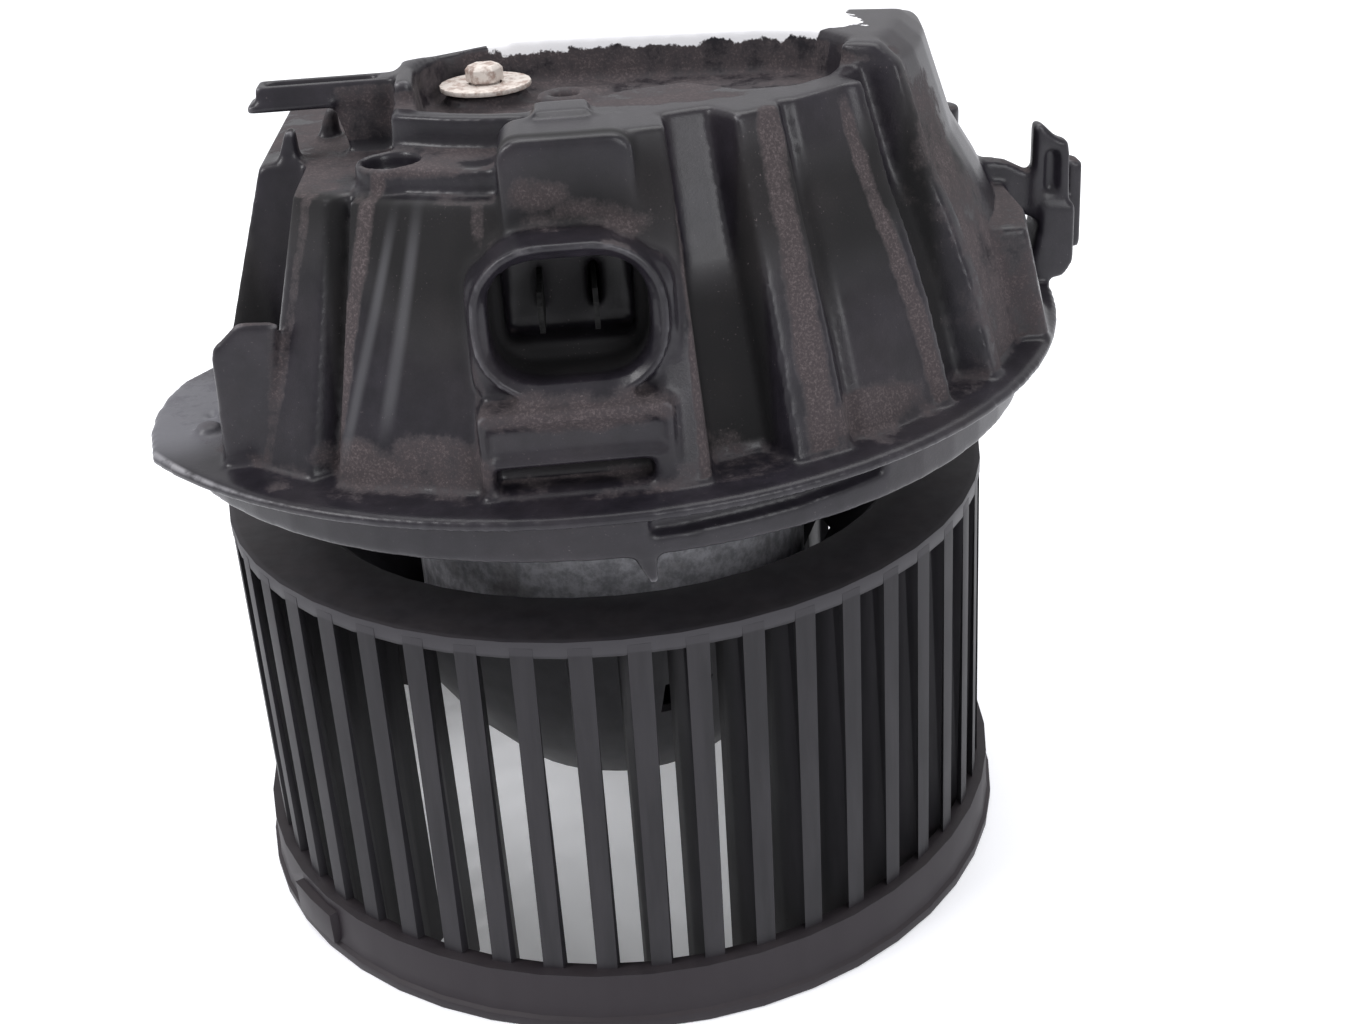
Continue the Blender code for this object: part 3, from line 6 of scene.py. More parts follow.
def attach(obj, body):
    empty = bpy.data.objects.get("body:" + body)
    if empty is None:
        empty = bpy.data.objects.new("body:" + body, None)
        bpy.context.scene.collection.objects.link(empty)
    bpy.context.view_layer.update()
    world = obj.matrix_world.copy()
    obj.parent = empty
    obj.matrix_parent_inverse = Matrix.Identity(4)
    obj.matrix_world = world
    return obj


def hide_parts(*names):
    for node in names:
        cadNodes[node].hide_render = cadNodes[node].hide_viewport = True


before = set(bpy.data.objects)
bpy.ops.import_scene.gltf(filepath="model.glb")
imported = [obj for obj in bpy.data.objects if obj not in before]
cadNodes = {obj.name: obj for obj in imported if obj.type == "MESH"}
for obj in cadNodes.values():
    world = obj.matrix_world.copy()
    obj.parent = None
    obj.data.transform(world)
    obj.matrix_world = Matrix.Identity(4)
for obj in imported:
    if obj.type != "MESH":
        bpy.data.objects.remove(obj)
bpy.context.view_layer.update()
mm = 0.001
print("frame loaded")


def startAfresh():
    if bpy.context.object and bpy.context.object.mode != "OBJECT":
        bpy.ops.object.mode_set(mode="OBJECT")
    bpy.ops.object.select_all(action="DESELECT")


def pick(piece):
    startAfresh()
    piece.select_set(True)
    bpy.context.view_layer.objects.active = piece


def workingCopy(nodeName, name):
    # a merged copy of a CAD node, with its flat faces made whole again
    piece = bpy.data.objects.new(name, cadNodes[nodeName].data.copy())
    bpy.context.collection.objects.link(piece)
    pick(piece)
    bpy.ops.mesh.customdata_custom_splitnormals_clear()
    bpy.ops.object.mode_set(mode="EDIT")
    bpy.ops.mesh.select_all(action="SELECT")
    bpy.ops.mesh.remove_doubles(threshold=0.01 * mm)
    bpy.ops.mesh.dissolve_limited(angle_limit=radians(0.6))
    bpy.ops.object.mode_set(mode="OBJECT")
    return piece


def applyAll(piece):
    pick(piece)
    for modifier in list(piece.modifiers):
        bpy.ops.object.modifier_apply(modifier=modifier.name)


def smoothByAngle(piece, angle):
    pick(piece)
    bpy.ops.object.shade_smooth_by_angle(angle=radians(angle))


def settle(piece, body, finish):
    # place in the mesh, finish on, riding on its body
    pick(piece)
    bpy.ops.object.transform_apply(location=True, rotation=True, scale=True)
    piece.data.materials.clear()
    piece.data.materials.append(finish)
    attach(piece, body)


def triangleCount(piece):
    return sum(len(face.vertices) - 2 for face in piece.data.polygons)


class Finish:
    # one material's node tree, with short calls for the nodes that are used again and again
    def __init__(self, name):
        self.material = bpy.data.materials.new(name)
        self.material.use_nodes = True
        self.tree = self.material.node_tree
        self.shader = self.tree.nodes["Principled BSDF"]
        self.place = self.tree.nodes.new("ShaderNodeTexCoord")

    def join(self, output, target):
        self.tree.links.new(output, target)

    def fill(self, socket, value):
        if isinstance(value, bpy.types.NodeSocket):
            self.join(value, socket)
        else:
            socket.default_value = value

    def math(self, operation, first, second=0.0, clamp=False):
        node = self.tree.nodes.new("ShaderNodeMath")
        node.operation = operation
        node.use_clamp = clamp
        self.fill(node.inputs[0], first)
        self.fill(node.inputs[1], second)
        return node.outputs[0]

    def plus(self, first, second):
        return self.math("ADD", first, second)

    def minus(self, first, second):
        return self.math("SUBTRACT", first, second)

    def times(self, first, second):
        return self.math("MULTIPLY", first, second)

    def most(self, first, second, clamp=False):
        return self.math("MAXIMUM", first, second, clamp)

    def ramp(self, value, low, high, outLow=0.0, outHigh=1.0):
        node = self.tree.nodes.new("ShaderNodeMapRange")
        node.interpolation_type = "SMOOTHSTEP"
        self.fill(node.inputs["Value"], value)
        for socket, number in zip(("From Min", "From Max", "To Min", "To Max"), (low, high, outLow, outHigh)):
            node.inputs[socket].default_value = number
        return node.outputs["Result"]

    def noise(self, size, detail=3.0, roughness=0.55, stretch=None):
        # size is that of one blotch, in metres
        node = self.tree.nodes.new("ShaderNodeTexNoise")
        node.inputs["Scale"].default_value = 1.0 / size
        node.inputs["Detail"].default_value = detail
        node.inputs["Roughness"].default_value = roughness
        where = self.place.outputs["Object"]
        if stretch:
            mapping = self.tree.nodes.new("ShaderNodeMapping")
            mapping.inputs["Scale"].default_value = stretch
            self.join(where, mapping.inputs["Vector"])
            where = mapping.outputs["Vector"]
        self.join(where, node.inputs["Vector"])
        return node.outputs["Fac"]

    def mix(self, amount, first, second):
        node = self.tree.nodes.new("ShaderNodeMix")
        node.data_type = "RGBA"
        self.fill(node.inputs["Factor"], amount)
        self.fill(node.inputs["A"], first)
        self.fill(node.inputs["B"], second)
        return node.outputs["Result"]

    def axes(self, output="Object"):
        node = self.tree.nodes.new("ShaderNodeSeparateXYZ")
        self.join(self.place.outputs[output], node.inputs[0])
        return node.outputs[0], node.outputs[1], node.outputs[2]

    def radius(self):
        x, y = self.axes()[:2]
        return self.math("SQRT", self.plus(self.times(x, x), self.times(y, y)))

    def azimuth(self):
        x, y = self.axes()[:2]
        return self.times(self.math("ARCTAN2", y, x), 180.0 / pi)

    def pointiness(self):
        node = self.tree.nodes.new("ShaderNodeNewGeometry")
        return node.outputs["Pointiness"]

    def blob(self, centre, reach, strength):
        # strength inside an egg round the centre, 0 outside; both sizes in millimetres
        shift = self.tree.nodes.new("ShaderNodeVectorMath")
        shift.operation = "SUBTRACT"
        self.join(self.place.outputs["Object"], shift.inputs[0])
        shift.inputs[1].default_value = [value * mm for value in centre]
        scale = self.tree.nodes.new("ShaderNodeVectorMath")
        scale.operation = "DIVIDE"
        self.join(shift.outputs["Vector"], scale.inputs[0])
        scale.inputs[1].default_value = [value * mm for value in reach]
        length = self.tree.nodes.new("ShaderNodeVectorMath")
        length.operation = "LENGTH"
        self.join(scale.outputs["Vector"], length.inputs[0])
        return self.ramp(length.outputs["Value"], 1.45, 0.55, 0.0, strength)

    def bump(self, height, distance, strength=1.0, under=None):
        node = self.tree.nodes.new("ShaderNodeBump")
        node.inputs["Distance"].default_value = distance
        node.inputs["Strength"].default_value = strength
        self.join(height, node.inputs["Height"])
        if under:
            self.join(under, node.inputs["Normal"])
        return node.outputs["Normal"]

    def done(self, colour, roughness, normal=None, metallic=None, gloss=0.5):
        self.shader.inputs["Specular IOR Level"].default_value = gloss
        self.fill(self.shader.inputs["Base Color"], colour)
        self.fill(self.shader.inputs["Roughness"], roughness)
        if normal:
            self.join(normal, self.shader.inputs["Normal"])
        if metallic is not None:
            self.fill(self.shader.inputs["Metallic"], metallic)
        return self.material


housingLook = {
    "plastic": (0.0088, 0.0080, 0.0112, 1.0),
    "plasticLight": (0.0160, 0.0142, 0.0192, 1.0),
    # colour of the painted shade in the deep grooves and inside the socket
    "grooveShade": (0.0045, 0.0043, 0.0050, 1.0),
    "dust": (0.063, 0.0510, 0.0525, 1.0),
    "dustPale": (0.115, 0.096, 0.098, 1.0),
    # grey of the painted highlight streaks on the ridges
    "wearAndSheen": (0.075, 0.074, 0.080, 1.0),
    "worn": (0.26, 0.255, 0.27, 1.0),
    # colour of the painted highlight on the low tab
    "ear": (0.115, 0.115, 0.130, 1.0),
    "paper": (0.74, 0.74, 0.76, 1.0),
    "gloss": 0.30,
    "sheen": 0.31,
    "dustiness": 0.93,
    "lipTop": 107.5 * mm,
    "lipEdge": 87.5 * mm,
    "rimLow": 155.8 * mm,
    "middleHeight": 125.0 * mm,
    # the wall's radius at the lip, and how much it draws in for each unit of height
    "wallFoot": 79.0 * mm,
    "wallSlope": 0.165,
    "hollowShare": 0.22,
    # dust on the flanks of the ribs: azimuth and half width in degrees, lean in degrees per metre
    "bands": (
        (-120.6, 1.1, 100.0, 1.0), (-129.6, 0.9, 90.0, 0.6), (-78.8, 0.9, 40.0, 0.9), (-64.9, 1.9, 30.0, 1.0),
        (-47.9, 1.2, -60.0, 0.9), (-29.0, 7.5, 0.0, 0.75), (-103.6, 0.9, 0.0, 0.6), (43.0, 1.0, 0.0, 0.8),
        (67.0, 1.0, 0.0, 0.8), (91.0, 1.0, 0.0, 0.8), (115.0, 1.0, 0.0, 0.8), (139.0, 1.0, 0.0, 0.8),
        (163.0, 1.0, 0.0, 0.8),
    ),
    # heaps and patches of dust: centre and reach in millimetres, share
    "heaps": (
        ((-38.0, -69.0, 111.0), (8.0, 8.0, 3.9), 0.95),
        ((-28.0, -74.0, 112.5), (8.0, 6.0, 5.2), 0.72),
        ((-20.5, -77.0, 112.0), (4.5, 5.0, 4.8), 0.8),
        ((17.0, -75.0, 110.5), (9.0, 7.0, 3.2), 0.5),
        ((43.0, -66.0, 111.2), (11.0, 9.0, 3.9), 0.95),
        ((-27.0, -60.0, 152.3), (13.0, 9.0, 2.0), 0.85),
        ((14.0, -47.3, 157.2), (15.0, 3.0, 2.2), 0.85),
        ((50.0, -57.0, 148.0), (7.0, 9.0, 6.5), 0.9),
        ((-3.5, -78.0, 121.0), (16.5, 6.0, 4.0), 0.9),
        ((-1.0, -68.5, 144.5), (10.5, 3.0, 4.6), 0.95),
        ((-6.5, -68.5, 149.5), (4.6, 3.0, 3.2), 0.9),
        ((-50.0, -66.0, 124.0), (4.6, 5.0, 18.0), 0.7),
        ((41.0, -32.0, 158.2), (13.0, 5.0, 1.4), 0.85),
    ),
    # painted highlight streaks on the left panel: azimuth, half width, lean, lowest and highest point
    "ridgeSheenStreaks": ((-118.1, 1.0, 155.0, 109 * mm, 150 * mm), (-114.2, 1.2, 114.0, 113 * mm, 151 * mm)),
    # centre and reach in millimetres, share
    "socketMouth": ((-3.5, -71.0, 133.2), (13.5, 10.0, 11.5), 1.2),
    # painted shade inside the socket
    "socketShade": ((-3.5, -66.0, 133.2), (13.0, 9.5, 9.5), 0.75),
    "rubbedStep": ((-8.5, -60.0, 153.5), (1.6, 2.0, 2.6), 0.4),
    # painted highlight on the low tab at the left
    "tabSheenPatch": ((-70.0, -34.0, 107.0), (13.0, 17.0, 3.0), 0.85),
    "bay": {"low": 149.5 * mm, "high": 158.5 * mm, "reach": 50.0 * mm, "share": 0.66},
    "foot": {"top": 111.5 * mm, "full": 108.2 * mm, "edge": 81.5 * mm, "inner": 80.0 * mm, "share": 0.45},
    "label": {
        "centre": (17.0 * mm, -6.0 * mm),
        "half": (31.0 * mm, 16.0 * mm),
        "soft": 0.4 * mm,
        "rag": 5.0 * mm,
        "low": 158.3 * mm,
        "high": 158.7 * mm,
        "share": 0.96,
    },
}


def dustShare(made, uneven):
    # how much dust could lie at each place, before it is broken up
    look = housingLook
    lipTop = look["lipTop"]
    z = made.axes()[2]
    up = made.axes("Normal")[2]
    radius = made.radius()
    azimuth = made.azimuth()
    rise = made.minus(z, look["middleHeight"])
    ledge = made.times(made.ramp(up, 0.45, 0.85, 0.0, 0.80), made.ramp(uneven, 0.36, 0.56, 0.38, 1.0))
    bare = made.most(made.ramp(z, lipTop + 1.2 * mm, lipTop + 0.5 * mm),
                     made.ramp(z, look["rimLow"], look["rimLow"] + mm))
    share = made.times(ledge, made.minus(1.0, made.times(bare, 0.92)))
    onWall = made.times(made.ramp(radius, 60 * mm, 64 * mm),
                        made.ramp(z, lipTop + 0.3 * mm, lipTop + 1.2 * mm))
    for centre, half, lean, strength in look["bands"]:
        away = made.math("ABSOLUTE", made.minus(azimuth, made.plus(made.times(rise, lean), centre)))
        band = made.times(made.ramp(away, half * 1.7, half * 0.4, 0.0, strength), onWall)
        share = made.most(share, band)
    for centre, reach, strength in look["heaps"]:
        share = made.most(share, made.blob(centre, reach, strength))
    bay = look["bay"]
    inBay = made.times(made.ramp(z, bay["low"], bay["low"] + mm), made.ramp(z, bay["high"] + mm, bay["high"]))
    inBay = made.times(inBay, made.ramp(radius, bay["reach"], bay["reach"] - 2 * mm, 0.0, bay["share"]))
    share = made.most(share, inBay)
    # a low drift where the wall meets the lip
    foot = look["foot"]
    drift = made.times(made.ramp(z, foot["top"], foot["full"]),
                       made.ramp(z, lipTop - 0.7 * mm, lipTop + 0.1 * mm, 0.0, foot["share"]))
    share = made.most(share, made.times(drift, made.ramp(radius, foot["edge"], foot["inner"])))
    share = made.plus(share, made.ramp(made.pointiness(), 0.485, 0.45, 0.0, look["hollowShare"]))
    # none inside the socket
    return made.minus(share, made.blob(*look["socketMouth"]))


def paintedGrooveShade(made, z, radius):
    # painted shade: the deep grooves in the wall and the inside of the socket are painted dark, and stay dull
    look = housingLook
    y = made.axes()[1]
    wall = made.minus(look["wallFoot"], made.times(made.minus(z, look["lipTop"]), look["wallSlope"]))
    grooveShade = made.ramp(made.minus(wall, radius), 2.2 * mm, 5.5 * mm)
    grooveShade = made.times(grooveShade, made.ramp(radius, 62 * mm, 66 * mm))
    atFront = made.times(made.ramp(z, 108 * mm, 110 * mm), made.ramp(y, -20 * mm, -30 * mm))
    return made.most(made.times(grooveShade, atFront), made.blob(*look["socketShade"]))


def edgeWearAndSheen(made, z, radius, patch):
    # sharp edges are painted pale, partly as wear and partly as a painted highlight along them; the rim of
    # the lip is rubbed pale most of all
    look = housingLook
    lipTop = look["lipTop"]
    lipEdge = look["lipEdge"]
    edge = made.ramp(made.pointiness(), 0.53, 0.585)
    wearAndSheen = made.times(edge, made.ramp(patch, 0.38, 0.62, 0.12, 0.60))
    rim = made.times(made.ramp(radius, lipEdge - 0.5 * mm, lipEdge + 0.2 * mm),
                     made.ramp(z, lipTop - 0.9 * mm, lipTop - 0.2 * mm))
    rim = made.times(rim, made.ramp(z, lipTop + 1.5 * mm, lipTop + 0.7 * mm))
    rim = made.times(rim, made.ramp(radius, lipEdge + 1.3 * mm, lipEdge + 0.8 * mm))
    wearAndSheen = made.most(wearAndSheen, made.times(rim, made.ramp(patch, 0.34, 0.56, 0.15, 0.95)))
    return made.most(wearAndSheen, made.blob(*look["rubbedStep"]))


def paperLabel(made, z, patch):
    # what is left of a blank paper label on the flat top
    label = housingLook["label"]
    x, y = made.axes()[:2]
    torn = made.times(made.minus(patch, 0.5), label["rag"] * 2)
    within = 1.0
    for place, centre, half in zip((x, y), label["centre"], label["half"]):
        off = made.math("ABSOLUTE", made.minus(place, centre))
        within = made.times(within, made.ramp(made.plus(off, torn), half, half - label["soft"]))
    height = made.plus(z, made.times(torn, 0.6))
    return made.times(within, made.ramp(height, label["low"], label["high"], 0.0, label["share"]))


def housingPlastic():
    look = housingLook
    made = Finish("dusty black plastic")
    z = made.axes()[2]
    radius = made.radius()
    broad = made.noise(24 * mm, 3.0)
    patch = made.noise(5.5 * mm, 5.0, 0.66)
    fine = made.noise(0.42 * mm, 4.0, 0.7)
    speck = made.noise(0.40 * mm, 1.0, 0.5)
    share = made.plus(dustShare(made, broad), made.times(made.minus(patch, 0.5), 1.7))
    cover = made.times(made.ramp(share, 0.25, 0.95, 0.0, 0.92), made.ramp(fine, 0.38, 0.60, 0.62, 1.0))
    haze = made.ramp(broad, 0.40, 0.68, 0.02, 0.12)
    cover = made.most(cover, haze, clamp=True)
    strays = made.times(made.ramp(speck, 0.70, 0.77), made.ramp(patch, 0.47, 0.66, 0.0, 0.7))
    # painted shade in the deep grooves and inside the socket
    grooveShade = paintedGrooveShade(made, z, radius)
    plastic = made.mix(made.ramp(patch, 0.3, 0.7), look["plastic"], look["plasticLight"])
    plastic = made.mix(grooveShade, plastic, look["grooveShade"])
    dust = made.mix(made.ramp(fine, 0.48, 0.78), look["dust"], look["dustPale"])
    colour = made.mix(cover, plastic, dust)
    colour = made.mix(strays, colour, look["dustPale"])
    # two painted highlight streaks on the soft ridges in the left panel, in grey
    azimuth = made.azimuth()
    rise = made.minus(z, look["middleHeight"])
    for centre, half, lean, low, high in look["ridgeSheenStreaks"]:
        away = made.minus(azimuth, made.plus(made.times(rise, lean), centre))
        ridgeSheen = made.ramp(made.math("ABSOLUTE", away), half, half * 0.1, 0.0, 0.62)
        ridgeSheen = made.times(ridgeSheen, made.ramp(z, low, low + 8 * mm))
        ridgeSheen = made.times(ridgeSheen, made.ramp(z, high, high - 12 * mm))
        ridgeSheen = made.times(ridgeSheen, made.ramp(radius, 80 * mm, 79 * mm))
        colour = made.mix(ridgeSheen, colour, look["wearAndSheen"])
    # pale edges: wear, with a painted highlight along the sharp edges
    colour = made.mix(edgeWearAndSheen(made, z, radius, patch), colour, look["worn"])
    # a painted highlight on the low tab at the left
    tabSheen = made.times(made.blob(*look["tabSheenPatch"]), made.ramp(radius, 68 * mm, 71 * mm))
    colour = made.mix(tabSheen, colour, look["ear"])
    papered = paperLabel(made, z, patch)
    colour = made.mix(papered, colour, look["paper"])
    rough = made.ramp(cover, 0.05, 0.7, look["sheen"], look["dustiness"])
    rough = made.most(rough, made.times(grooveShade, 0.8))
    rough = made.most(rough, made.times(papered, 0.8))
    grain = made.bump(fine, 0.05 * mm, 0.5)
    return made.done(colour, rough, made.bump(patch, 0.12 * mm, 0.25, grain), None, look["gloss"])


wheelLook = {
    "plastic": (0.0125, 0.0118, 0.0142, 1.0),
    "plasticLight": (0.0215, 0.0200, 0.0235, 1.0),
    "ring": (0.020, 0.0152, 0.0190, 1.0),
    "band": (0.034, 0.032, 0.037, 1.0),
    "dust": (0.045, 0.035, 0.035, 1.0),
    "gloss": 0.30,
    "sheen": 0.46,
    "bandHeight": 75.6 * mm,
    "bandInner": 71.2 * mm,
    "bandOuter": 72.0 * mm,
    "ringTop": 12.5 * mm,
    "ringFull": 10.5 * mm,
}


def wheelPlastic():
    look = wheelLook
    made = Finish("dark wheel plastic")
    z = made.axes()[2]
    up = made.axes("Normal")[2]
    broad = made.noise(30 * mm, 3.0)
    streak = made.noise(3.2 * mm, 4.0, 0.6, (1.0, 1.0, 0.12))
    speck = made.noise(0.5 * mm, 1.0, 0.5)
    patch = made.noise(5 * mm, 4.0, 0.6)
    plastic = made.mix(made.ramp(streak, 0.3, 0.7), look["plastic"], look["plasticLight"])
    plastic = made.mix(made.ramp(z, look["ringTop"], look["ringFull"], 0.0, 0.8), plastic, look["ring"])
    onBand = made.times(made.ramp(z, look["bandHeight"], look["bandHeight"] + 0.4 * mm, 0.0, 0.8),
                        made.ramp(made.radius(), look["bandInner"], look["bandOuter"]))
    plastic = made.mix(onBand, plastic, look["band"])
    facing = made.ramp(up, 0.4, 0.95, 0.0, 0.14)
    settled = made.times(facing, made.ramp(patch, 0.3, 0.7, 0.4, 1.4))
    strays = made.times(made.ramp(speck, 0.70, 0.77), made.ramp(patch, 0.45, 0.65, 0.0, 0.5))
    cover = made.most(settled, strays, clamp=True)
    colour = made.mix(cover, plastic, look["dust"])
    rough = made.plus(made.ramp(broad, 0.3, 0.7, look["sheen"], look["sheen"] + 0.1), made.times(cover, 0.4))
    return made.done(colour, rough, made.bump(streak, 0.05 * mm, 0.25), None, look["gloss"])


galvanisedLook = {
    "dull": (0.34, 0.34, 0.37, 1.0),
    "bright": (0.62, 0.62, 0.66, 1.0),
    "grime": (0.16, 0.14, 0.135, 1.0),
    "metallic": 0.25,
}


def galvanisedSteel():
    look = galvanisedLook
    made = Finish("galvanised steel")
    spangle = made.noise(2.2 * mm, 5.0, 0.7)
    grime = made.noise(9 * mm, 4.0, 0.6)
    fine = made.noise(0.5 * mm, 3.0, 0.6)
    metal = made.mix(made.ramp(spangle, 0.35, 0.65), look["dull"], look["bright"])
    colour = made.mix(made.ramp(grime, 0.5, 0.72, 0.0, 0.5), metal, look["grime"])
    rough = made.ramp(spangle, 0.3, 0.7, 0.45, 0.62)
    return made.done(colour, rough, made.bump(fine, 0.05 * mm, 0.4), look["metallic"])


zincLook = {
    "pale": (0.58, 0.53, 0.49, 1.0),
    "worn": (0.30, 0.23, 0.20, 1.0),
}


def wornZinc():
    look = zincLook
    made = Finish("worn zinc")
    blotch = made.noise(1.6 * mm, 4.0, 0.65)
    fine = made.noise(0.35 * mm, 2.0, 0.5)
    colour = made.mix(made.ramp(blotch, 0.42, 0.64), look["pale"], look["worn"])
    rough = made.ramp(blotch, 0.35, 0.65, 0.5, 0.82)
    metal = made.ramp(blotch, 0.45, 0.65, 0.35, 0.1)
    return made.done(colour, rough, made.bump(fine, 0.04 * mm, 0.5), metal)


def plainFinish(name, colour, darker, size, roughness, metallic, gloss=0.5):
    made = Finish(name)
    blotch = made.noise(size, 4.0, 0.6)
    colour = made.mix(made.ramp(blotch, 0.35, 0.65), (*colour, 1.0), (*darker, 1.0))
    rough = made.ramp(blotch, 0.3, 0.7, roughness, min(1.0, roughness + 0.18))
    return made.done(colour, rough, made.bump(blotch, 0.04 * mm, 0.3), metallic, gloss)


dustyBlack = housingPlastic()
wheelBlack = wheelPlastic()
galvanised = galvanisedSteel()
zinc = wornZinc()
print("finishes made")


# the housing's moulding, with its edges rounded as a mould leaves them
housing = {
    "voxel": 0.56 * mm,
    "rounding": 13,
    "softness": 0.5,
    "triangles": 188000,
}

shell = workingCopy("motor_housing", "housing_moulding")
remesh = shell.modifiers.new("even mesh", "REMESH")
remesh.mode = "VOXEL"
remesh.voxel_size = housing["voxel"]
soften = shell.modifiers.new("round edges", "SMOOTH")
soften.factor = housing["softness"]
soften.iterations = housing["rounding"]
applyAll(shell)
share = housing["triangles"] / triangleCount(shell)
if share < 1.0:
    thin = shell.modifiers.new("fewer faces", "DECIMATE")
    thin.ratio = share
    applyAll(shell)
pick(shell)
bpy.ops.object.shade_smooth()
settle(shell, "housing", dustyBlack)
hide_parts("motor_housing")
print("housing:", triangleCount(shell), "triangles")


wheel = {
    "edgeRadius": 0.28 * mm,
    "edgeAngle": 38,
    "smoothAngle": 32,
    "blades": 48,
    "firstEdge": -93.9,
    "tipFrom": 72.3 * mm,
    "tipTo": 74.0 * mm,
    "footHeight": 11.4 * mm,
    "topHeight": 77.2 * mm,
    "slack": 0.1 * mm,
    # counted from a right edge, with some degrees of play, a left edge lies beyond this share of the pitch
    "play": 0.3,
    "leftFrom": 0.6,
    # how far each edge of a blade's tip moves, in degrees, at its foot and at its top
    "leftEdge": (-2.5, -1.4),
    "rightEdge": (-1.5, 0.0),
}

fan = workingCopy("blower_wheel", "wheel_moulding")
# the tips of the blades are broader than on the plain solid
pitch = 360.0 / wheel["blades"]
for vertex in fan.data.vertices:
    x, y, z = vertex.co
    onTip = wheel["tipFrom"] < hypot(x, y) < wheel["tipTo"]
    if not onTip or not wheel["footHeight"] - wheel["slack"] < z < wheel["topHeight"] + wheel["slack"]:
        continue
    place = (degrees(atan2(y, x)) - wheel["firstEdge"] + wheel["play"]) % pitch
    foot, top = wheel["leftEdge"] if place > wheel["leftFrom"] * pitch else wheel["rightEdge"]
    rise = (z - wheel["footHeight"]) / (wheel["topHeight"] - wheel["footHeight"])
    vertex.co = Matrix.Rotation(radians(foot + (top - foot) * rise), 3, "Z") @ vertex.co
bevel = fan.modifiers.new("edge radius", "BEVEL")
bevel.width = wheel["edgeRadius"]
bevel.segments = 2
bevel.limit_method = "ANGLE"
bevel.angle_limit = radians(wheel["edgeAngle"])
bevel.use_clamp_overlap = True
applyAll(fan)
smoothByAngle(fan, wheel["smoothAngle"])
settle(fan, "rotor", wheelBlack)
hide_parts("blower_wheel")
print("wheel:", triangleCount(fan), "triangles")


fastener = {
    "screwEdge": 0.25 * mm,
    "washerEdge": 0.15 * mm,
    "edgeAngle": 30,
}


def zincCopy(nodeName, name, edgeRadius):
    piece = workingCopy(nodeName, name)
    edge = piece.modifiers.new("edge radius", "BEVEL")
    edge.width = edgeRadius
    edge.segments = 2
    edge.limit_method = "ANGLE"
    edge.angle_limit = radians(fastener["edgeAngle"])
    applyAll(piece)
    smoothByAngle(piece, fastener["edgeAngle"])
    settle(piece, "housing", zinc)
    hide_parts(nodeName)


for place in ("front", "rear"):
    zincCopy("motor_screw_" + place, "screw_" + place, fastener["screwEdge"])
    zincCopy("screw_washer_" + place, "washer_" + place, fastener["washerEdge"])

# name, colour, darker colour, size of a blotch, roughness, metallic share and, where it isn't 0.5, gloss
hiddenLooks = {
    "end_bracket": ("bright steel", (0.42, 0.41, 0.40), (0.27, 0.26, 0.25), 3 * mm, 0.34, 1.0),
    "armature_core": ("core steel", (0.21, 0.21, 0.22), (0.12, 0.11, 0.11), 1.5 * mm, 0.45, 0.8),
    "armature_winding": ("enamelled copper", (0.52, 0.20, 0.08), (0.33, 0.11, 0.05), 0.9 * mm, 0.32, 0.9),
    "brush_left": ("pressed carbon", (0.035, 0.035, 0.037), (0.02, 0.02, 0.02), 1 * mm, 0.6, 0.0),
    "magnet_left": ("ferrite", (0.07, 0.07, 0.074), (0.045, 0.045, 0.05), 2 * mm, 0.65, 0.0),
    "bearing_lower": ("sintered bronze", (0.40, 0.25, 0.12), (0.26, 0.15, 0.08), 0.8 * mm, 0.5, 1.0),
    "damper_lower": ("damper rubber", (0.022, 0.022, 0.022), (0.035, 0.032, 0.031), 4 * mm, 0.78, 0.0),
    "brush_plate": ("brown card", (0.17, 0.10, 0.05), (0.11, 0.065, 0.035), 2 * mm, 0.7, 0.0),
    # the terminals are painted nearly black as painted shade of the socket recess
    "terminal_left": ("tin in painted shade", (0.012, 0.012, 0.012), (0.006, 0.006, 0.006), 1 * mm, 0.8, 0.0, 0.12),
    "motor_shaft": ("ground steel", (0.50, 0.50, 0.50), (0.38, 0.37, 0.36), 1 * mm, 0.22, 1.0),
}
sameAs = {
    "brush_right": "brush_left", "magnet_right": "magnet_left", "bearing_upper": "bearing_lower",
    "damper_upper": "damper_lower", "commutator": "armature_winding", "thrust_washer_lower": "brush_plate",
    "thrust_washer_upper": "brush_plate", "wheel_clip": "end_bracket", "brush_spring_left": "end_bracket",
    "brush_spring_right": "end_bracket", "terminal_right": "terminal_left",
}
hiddenFinishes = {"motor_can": galvanised}
for nodeName, look in hiddenLooks.items():
    hiddenFinishes[nodeName] = plainFinish(*look)
for nodeName in list(hiddenFinishes) + list(sameAs):
    finish = hiddenFinishes[sameAs.get(nodeName, nodeName)]
    for materialSlot in cadNodes[nodeName].material_slots:
        materialSlot.material = finish
print("other pieces finished")


ground = {
    "size": 6.0,
    "drop": 0.2 * mm,
    "colour": (0.90, 0.905, 0.93, 1.0),
    "roughness": 0.35,
    "glow": (0.97, 0.98, 1.0, 1.0),
    "glowStrength": 0.22,
}

startAfresh()
bpy.ops.mesh.primitive_plane_add(size=ground["size"], location=(0.0, 0.0, -ground["drop"]))
floor = bpy.context.object
floor.name = "floor"
floorFinish = Finish("pale floor")
floorFinish.shader.inputs["Emission Color"].default_value = ground["glow"]
floorFinish.shader.inputs["Emission Strength"].default_value = ground["glowStrength"]
floor.data.materials.append(floorFinish.done(ground["colour"], ground["roughness"]))

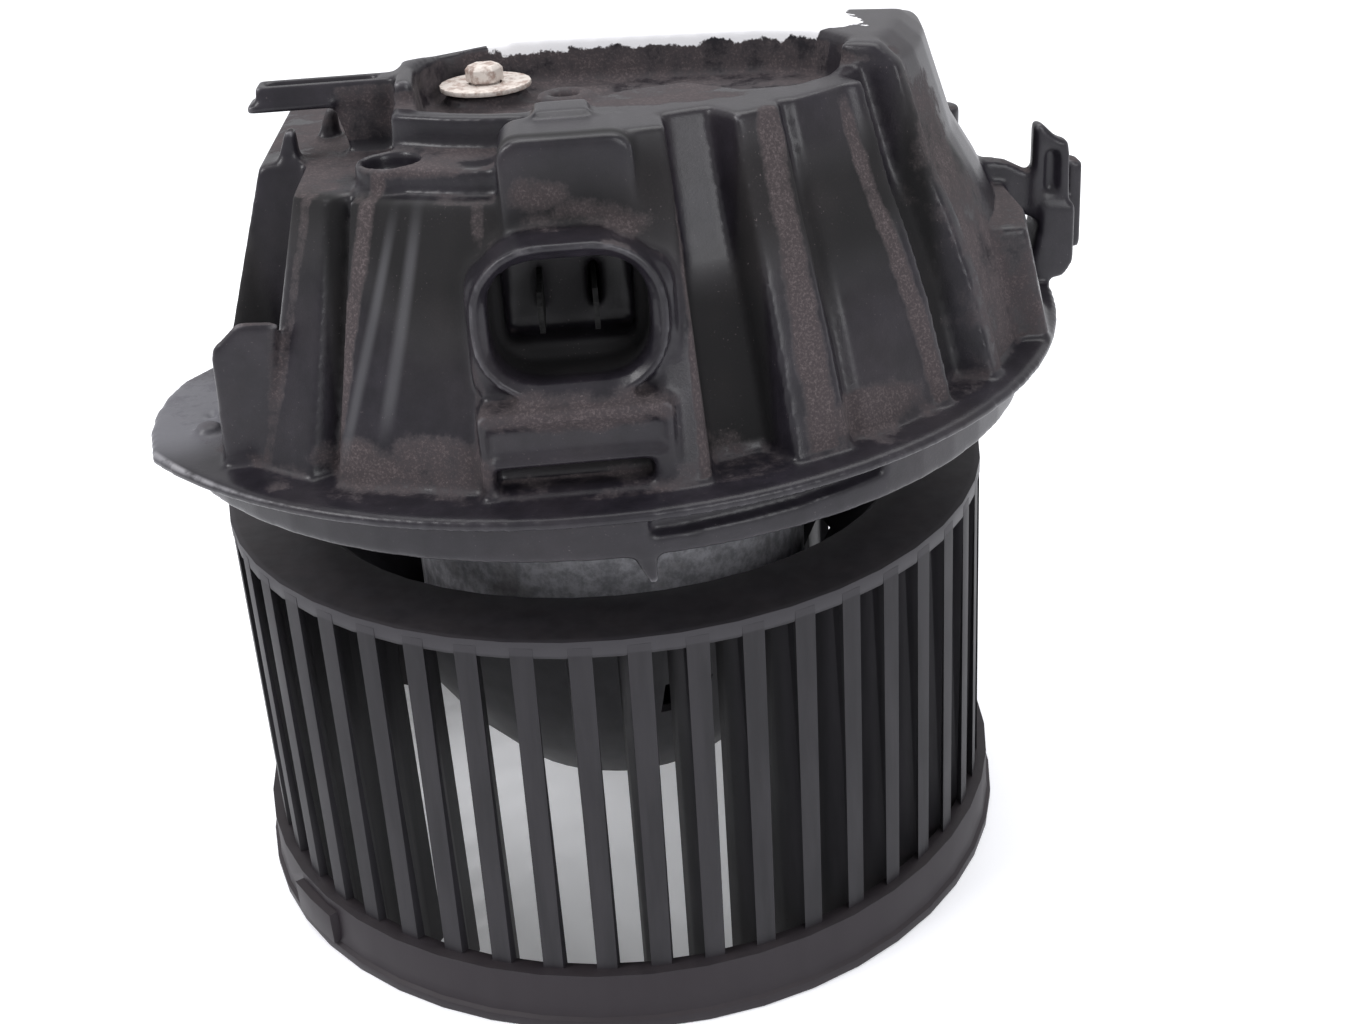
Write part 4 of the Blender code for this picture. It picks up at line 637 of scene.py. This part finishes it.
lights = {
    "key": {"at": (-0.85, -0.35, 0.95), "size": 0.45, "power": 8.0, "colour": (1.0, 0.99, 1.0)},
    "fill": {"at": (0.55, -0.95, 0.55), "size": 0.5, "power": 4.5, "colour": (0.97, 0.98, 1.0)},
    "top": {"at": (0.1, 0.35, 1.3), "size": 1.2, "power": 13.0, "colour": (1.0, 1.0, 1.0)},
}
target = Vector((0.0, 0.0, 0.09))
for name, light in lights.items():
    lamp = bpy.data.lights.new(name, "AREA")
    lamp.size = light["size"]
    lamp.energy = light["power"]
    lamp.color = light["colour"]
    holder = bpy.data.objects.new(name, lamp)
    bpy.context.collection.objects.link(holder)
    holder.location = light["at"]
    holder.rotation_euler = (target - holder.location).to_track_quat("-Z", "Y").to_euler()

studio = {
    "colour": (0.98, 0.98, 1.0, 1.0),
    "strength": 0.72,
}
world = bpy.data.worlds.new("studio")
bpy.context.scene.world = world
world.use_nodes = True
world.node_tree.nodes["Background"].inputs["Color"].default_value = studio["colour"]
world.node_tree.nodes["Background"].inputs["Strength"].default_value = studio["strength"]

camera = {
    "at": (0.0, -0.300008, 0.217939),
    "yaw": 2.74152,
    "pitch": 27.35407,
    "roll": -3.69443,
    "lens": 44.33,
    "sensor": 36.0,
}
lookYaw, lookPitch, lookRoll = (radians(camera[key]) for key in ("yaw", "pitch", "roll"))
ahead = Vector((sin(lookYaw) * cos(lookPitch), cos(lookYaw) * cos(lookPitch), -sin(lookPitch)))
level = Vector((cos(lookYaw), -sin(lookYaw), 0.0))
above = level.cross(ahead)
right = cos(lookRoll) * level + sin(lookRoll) * above
upward = -sin(lookRoll) * level + cos(lookRoll) * above
eye = bpy.data.cameras.new("camera")
eye.lens = camera["lens"]
eye.sensor_width = camera["sensor"]
viewer = bpy.data.objects.new("camera", eye)
bpy.context.collection.objects.link(viewer)
viewer.matrix_world = Matrix.Translation(camera["at"]) @ Matrix((right, upward, -ahead)).transposed().to_4x4()
bpy.context.scene.camera = viewer
bpy.context.scene.view_settings.view_transform = "Standard"
print("stage, light and camera set")
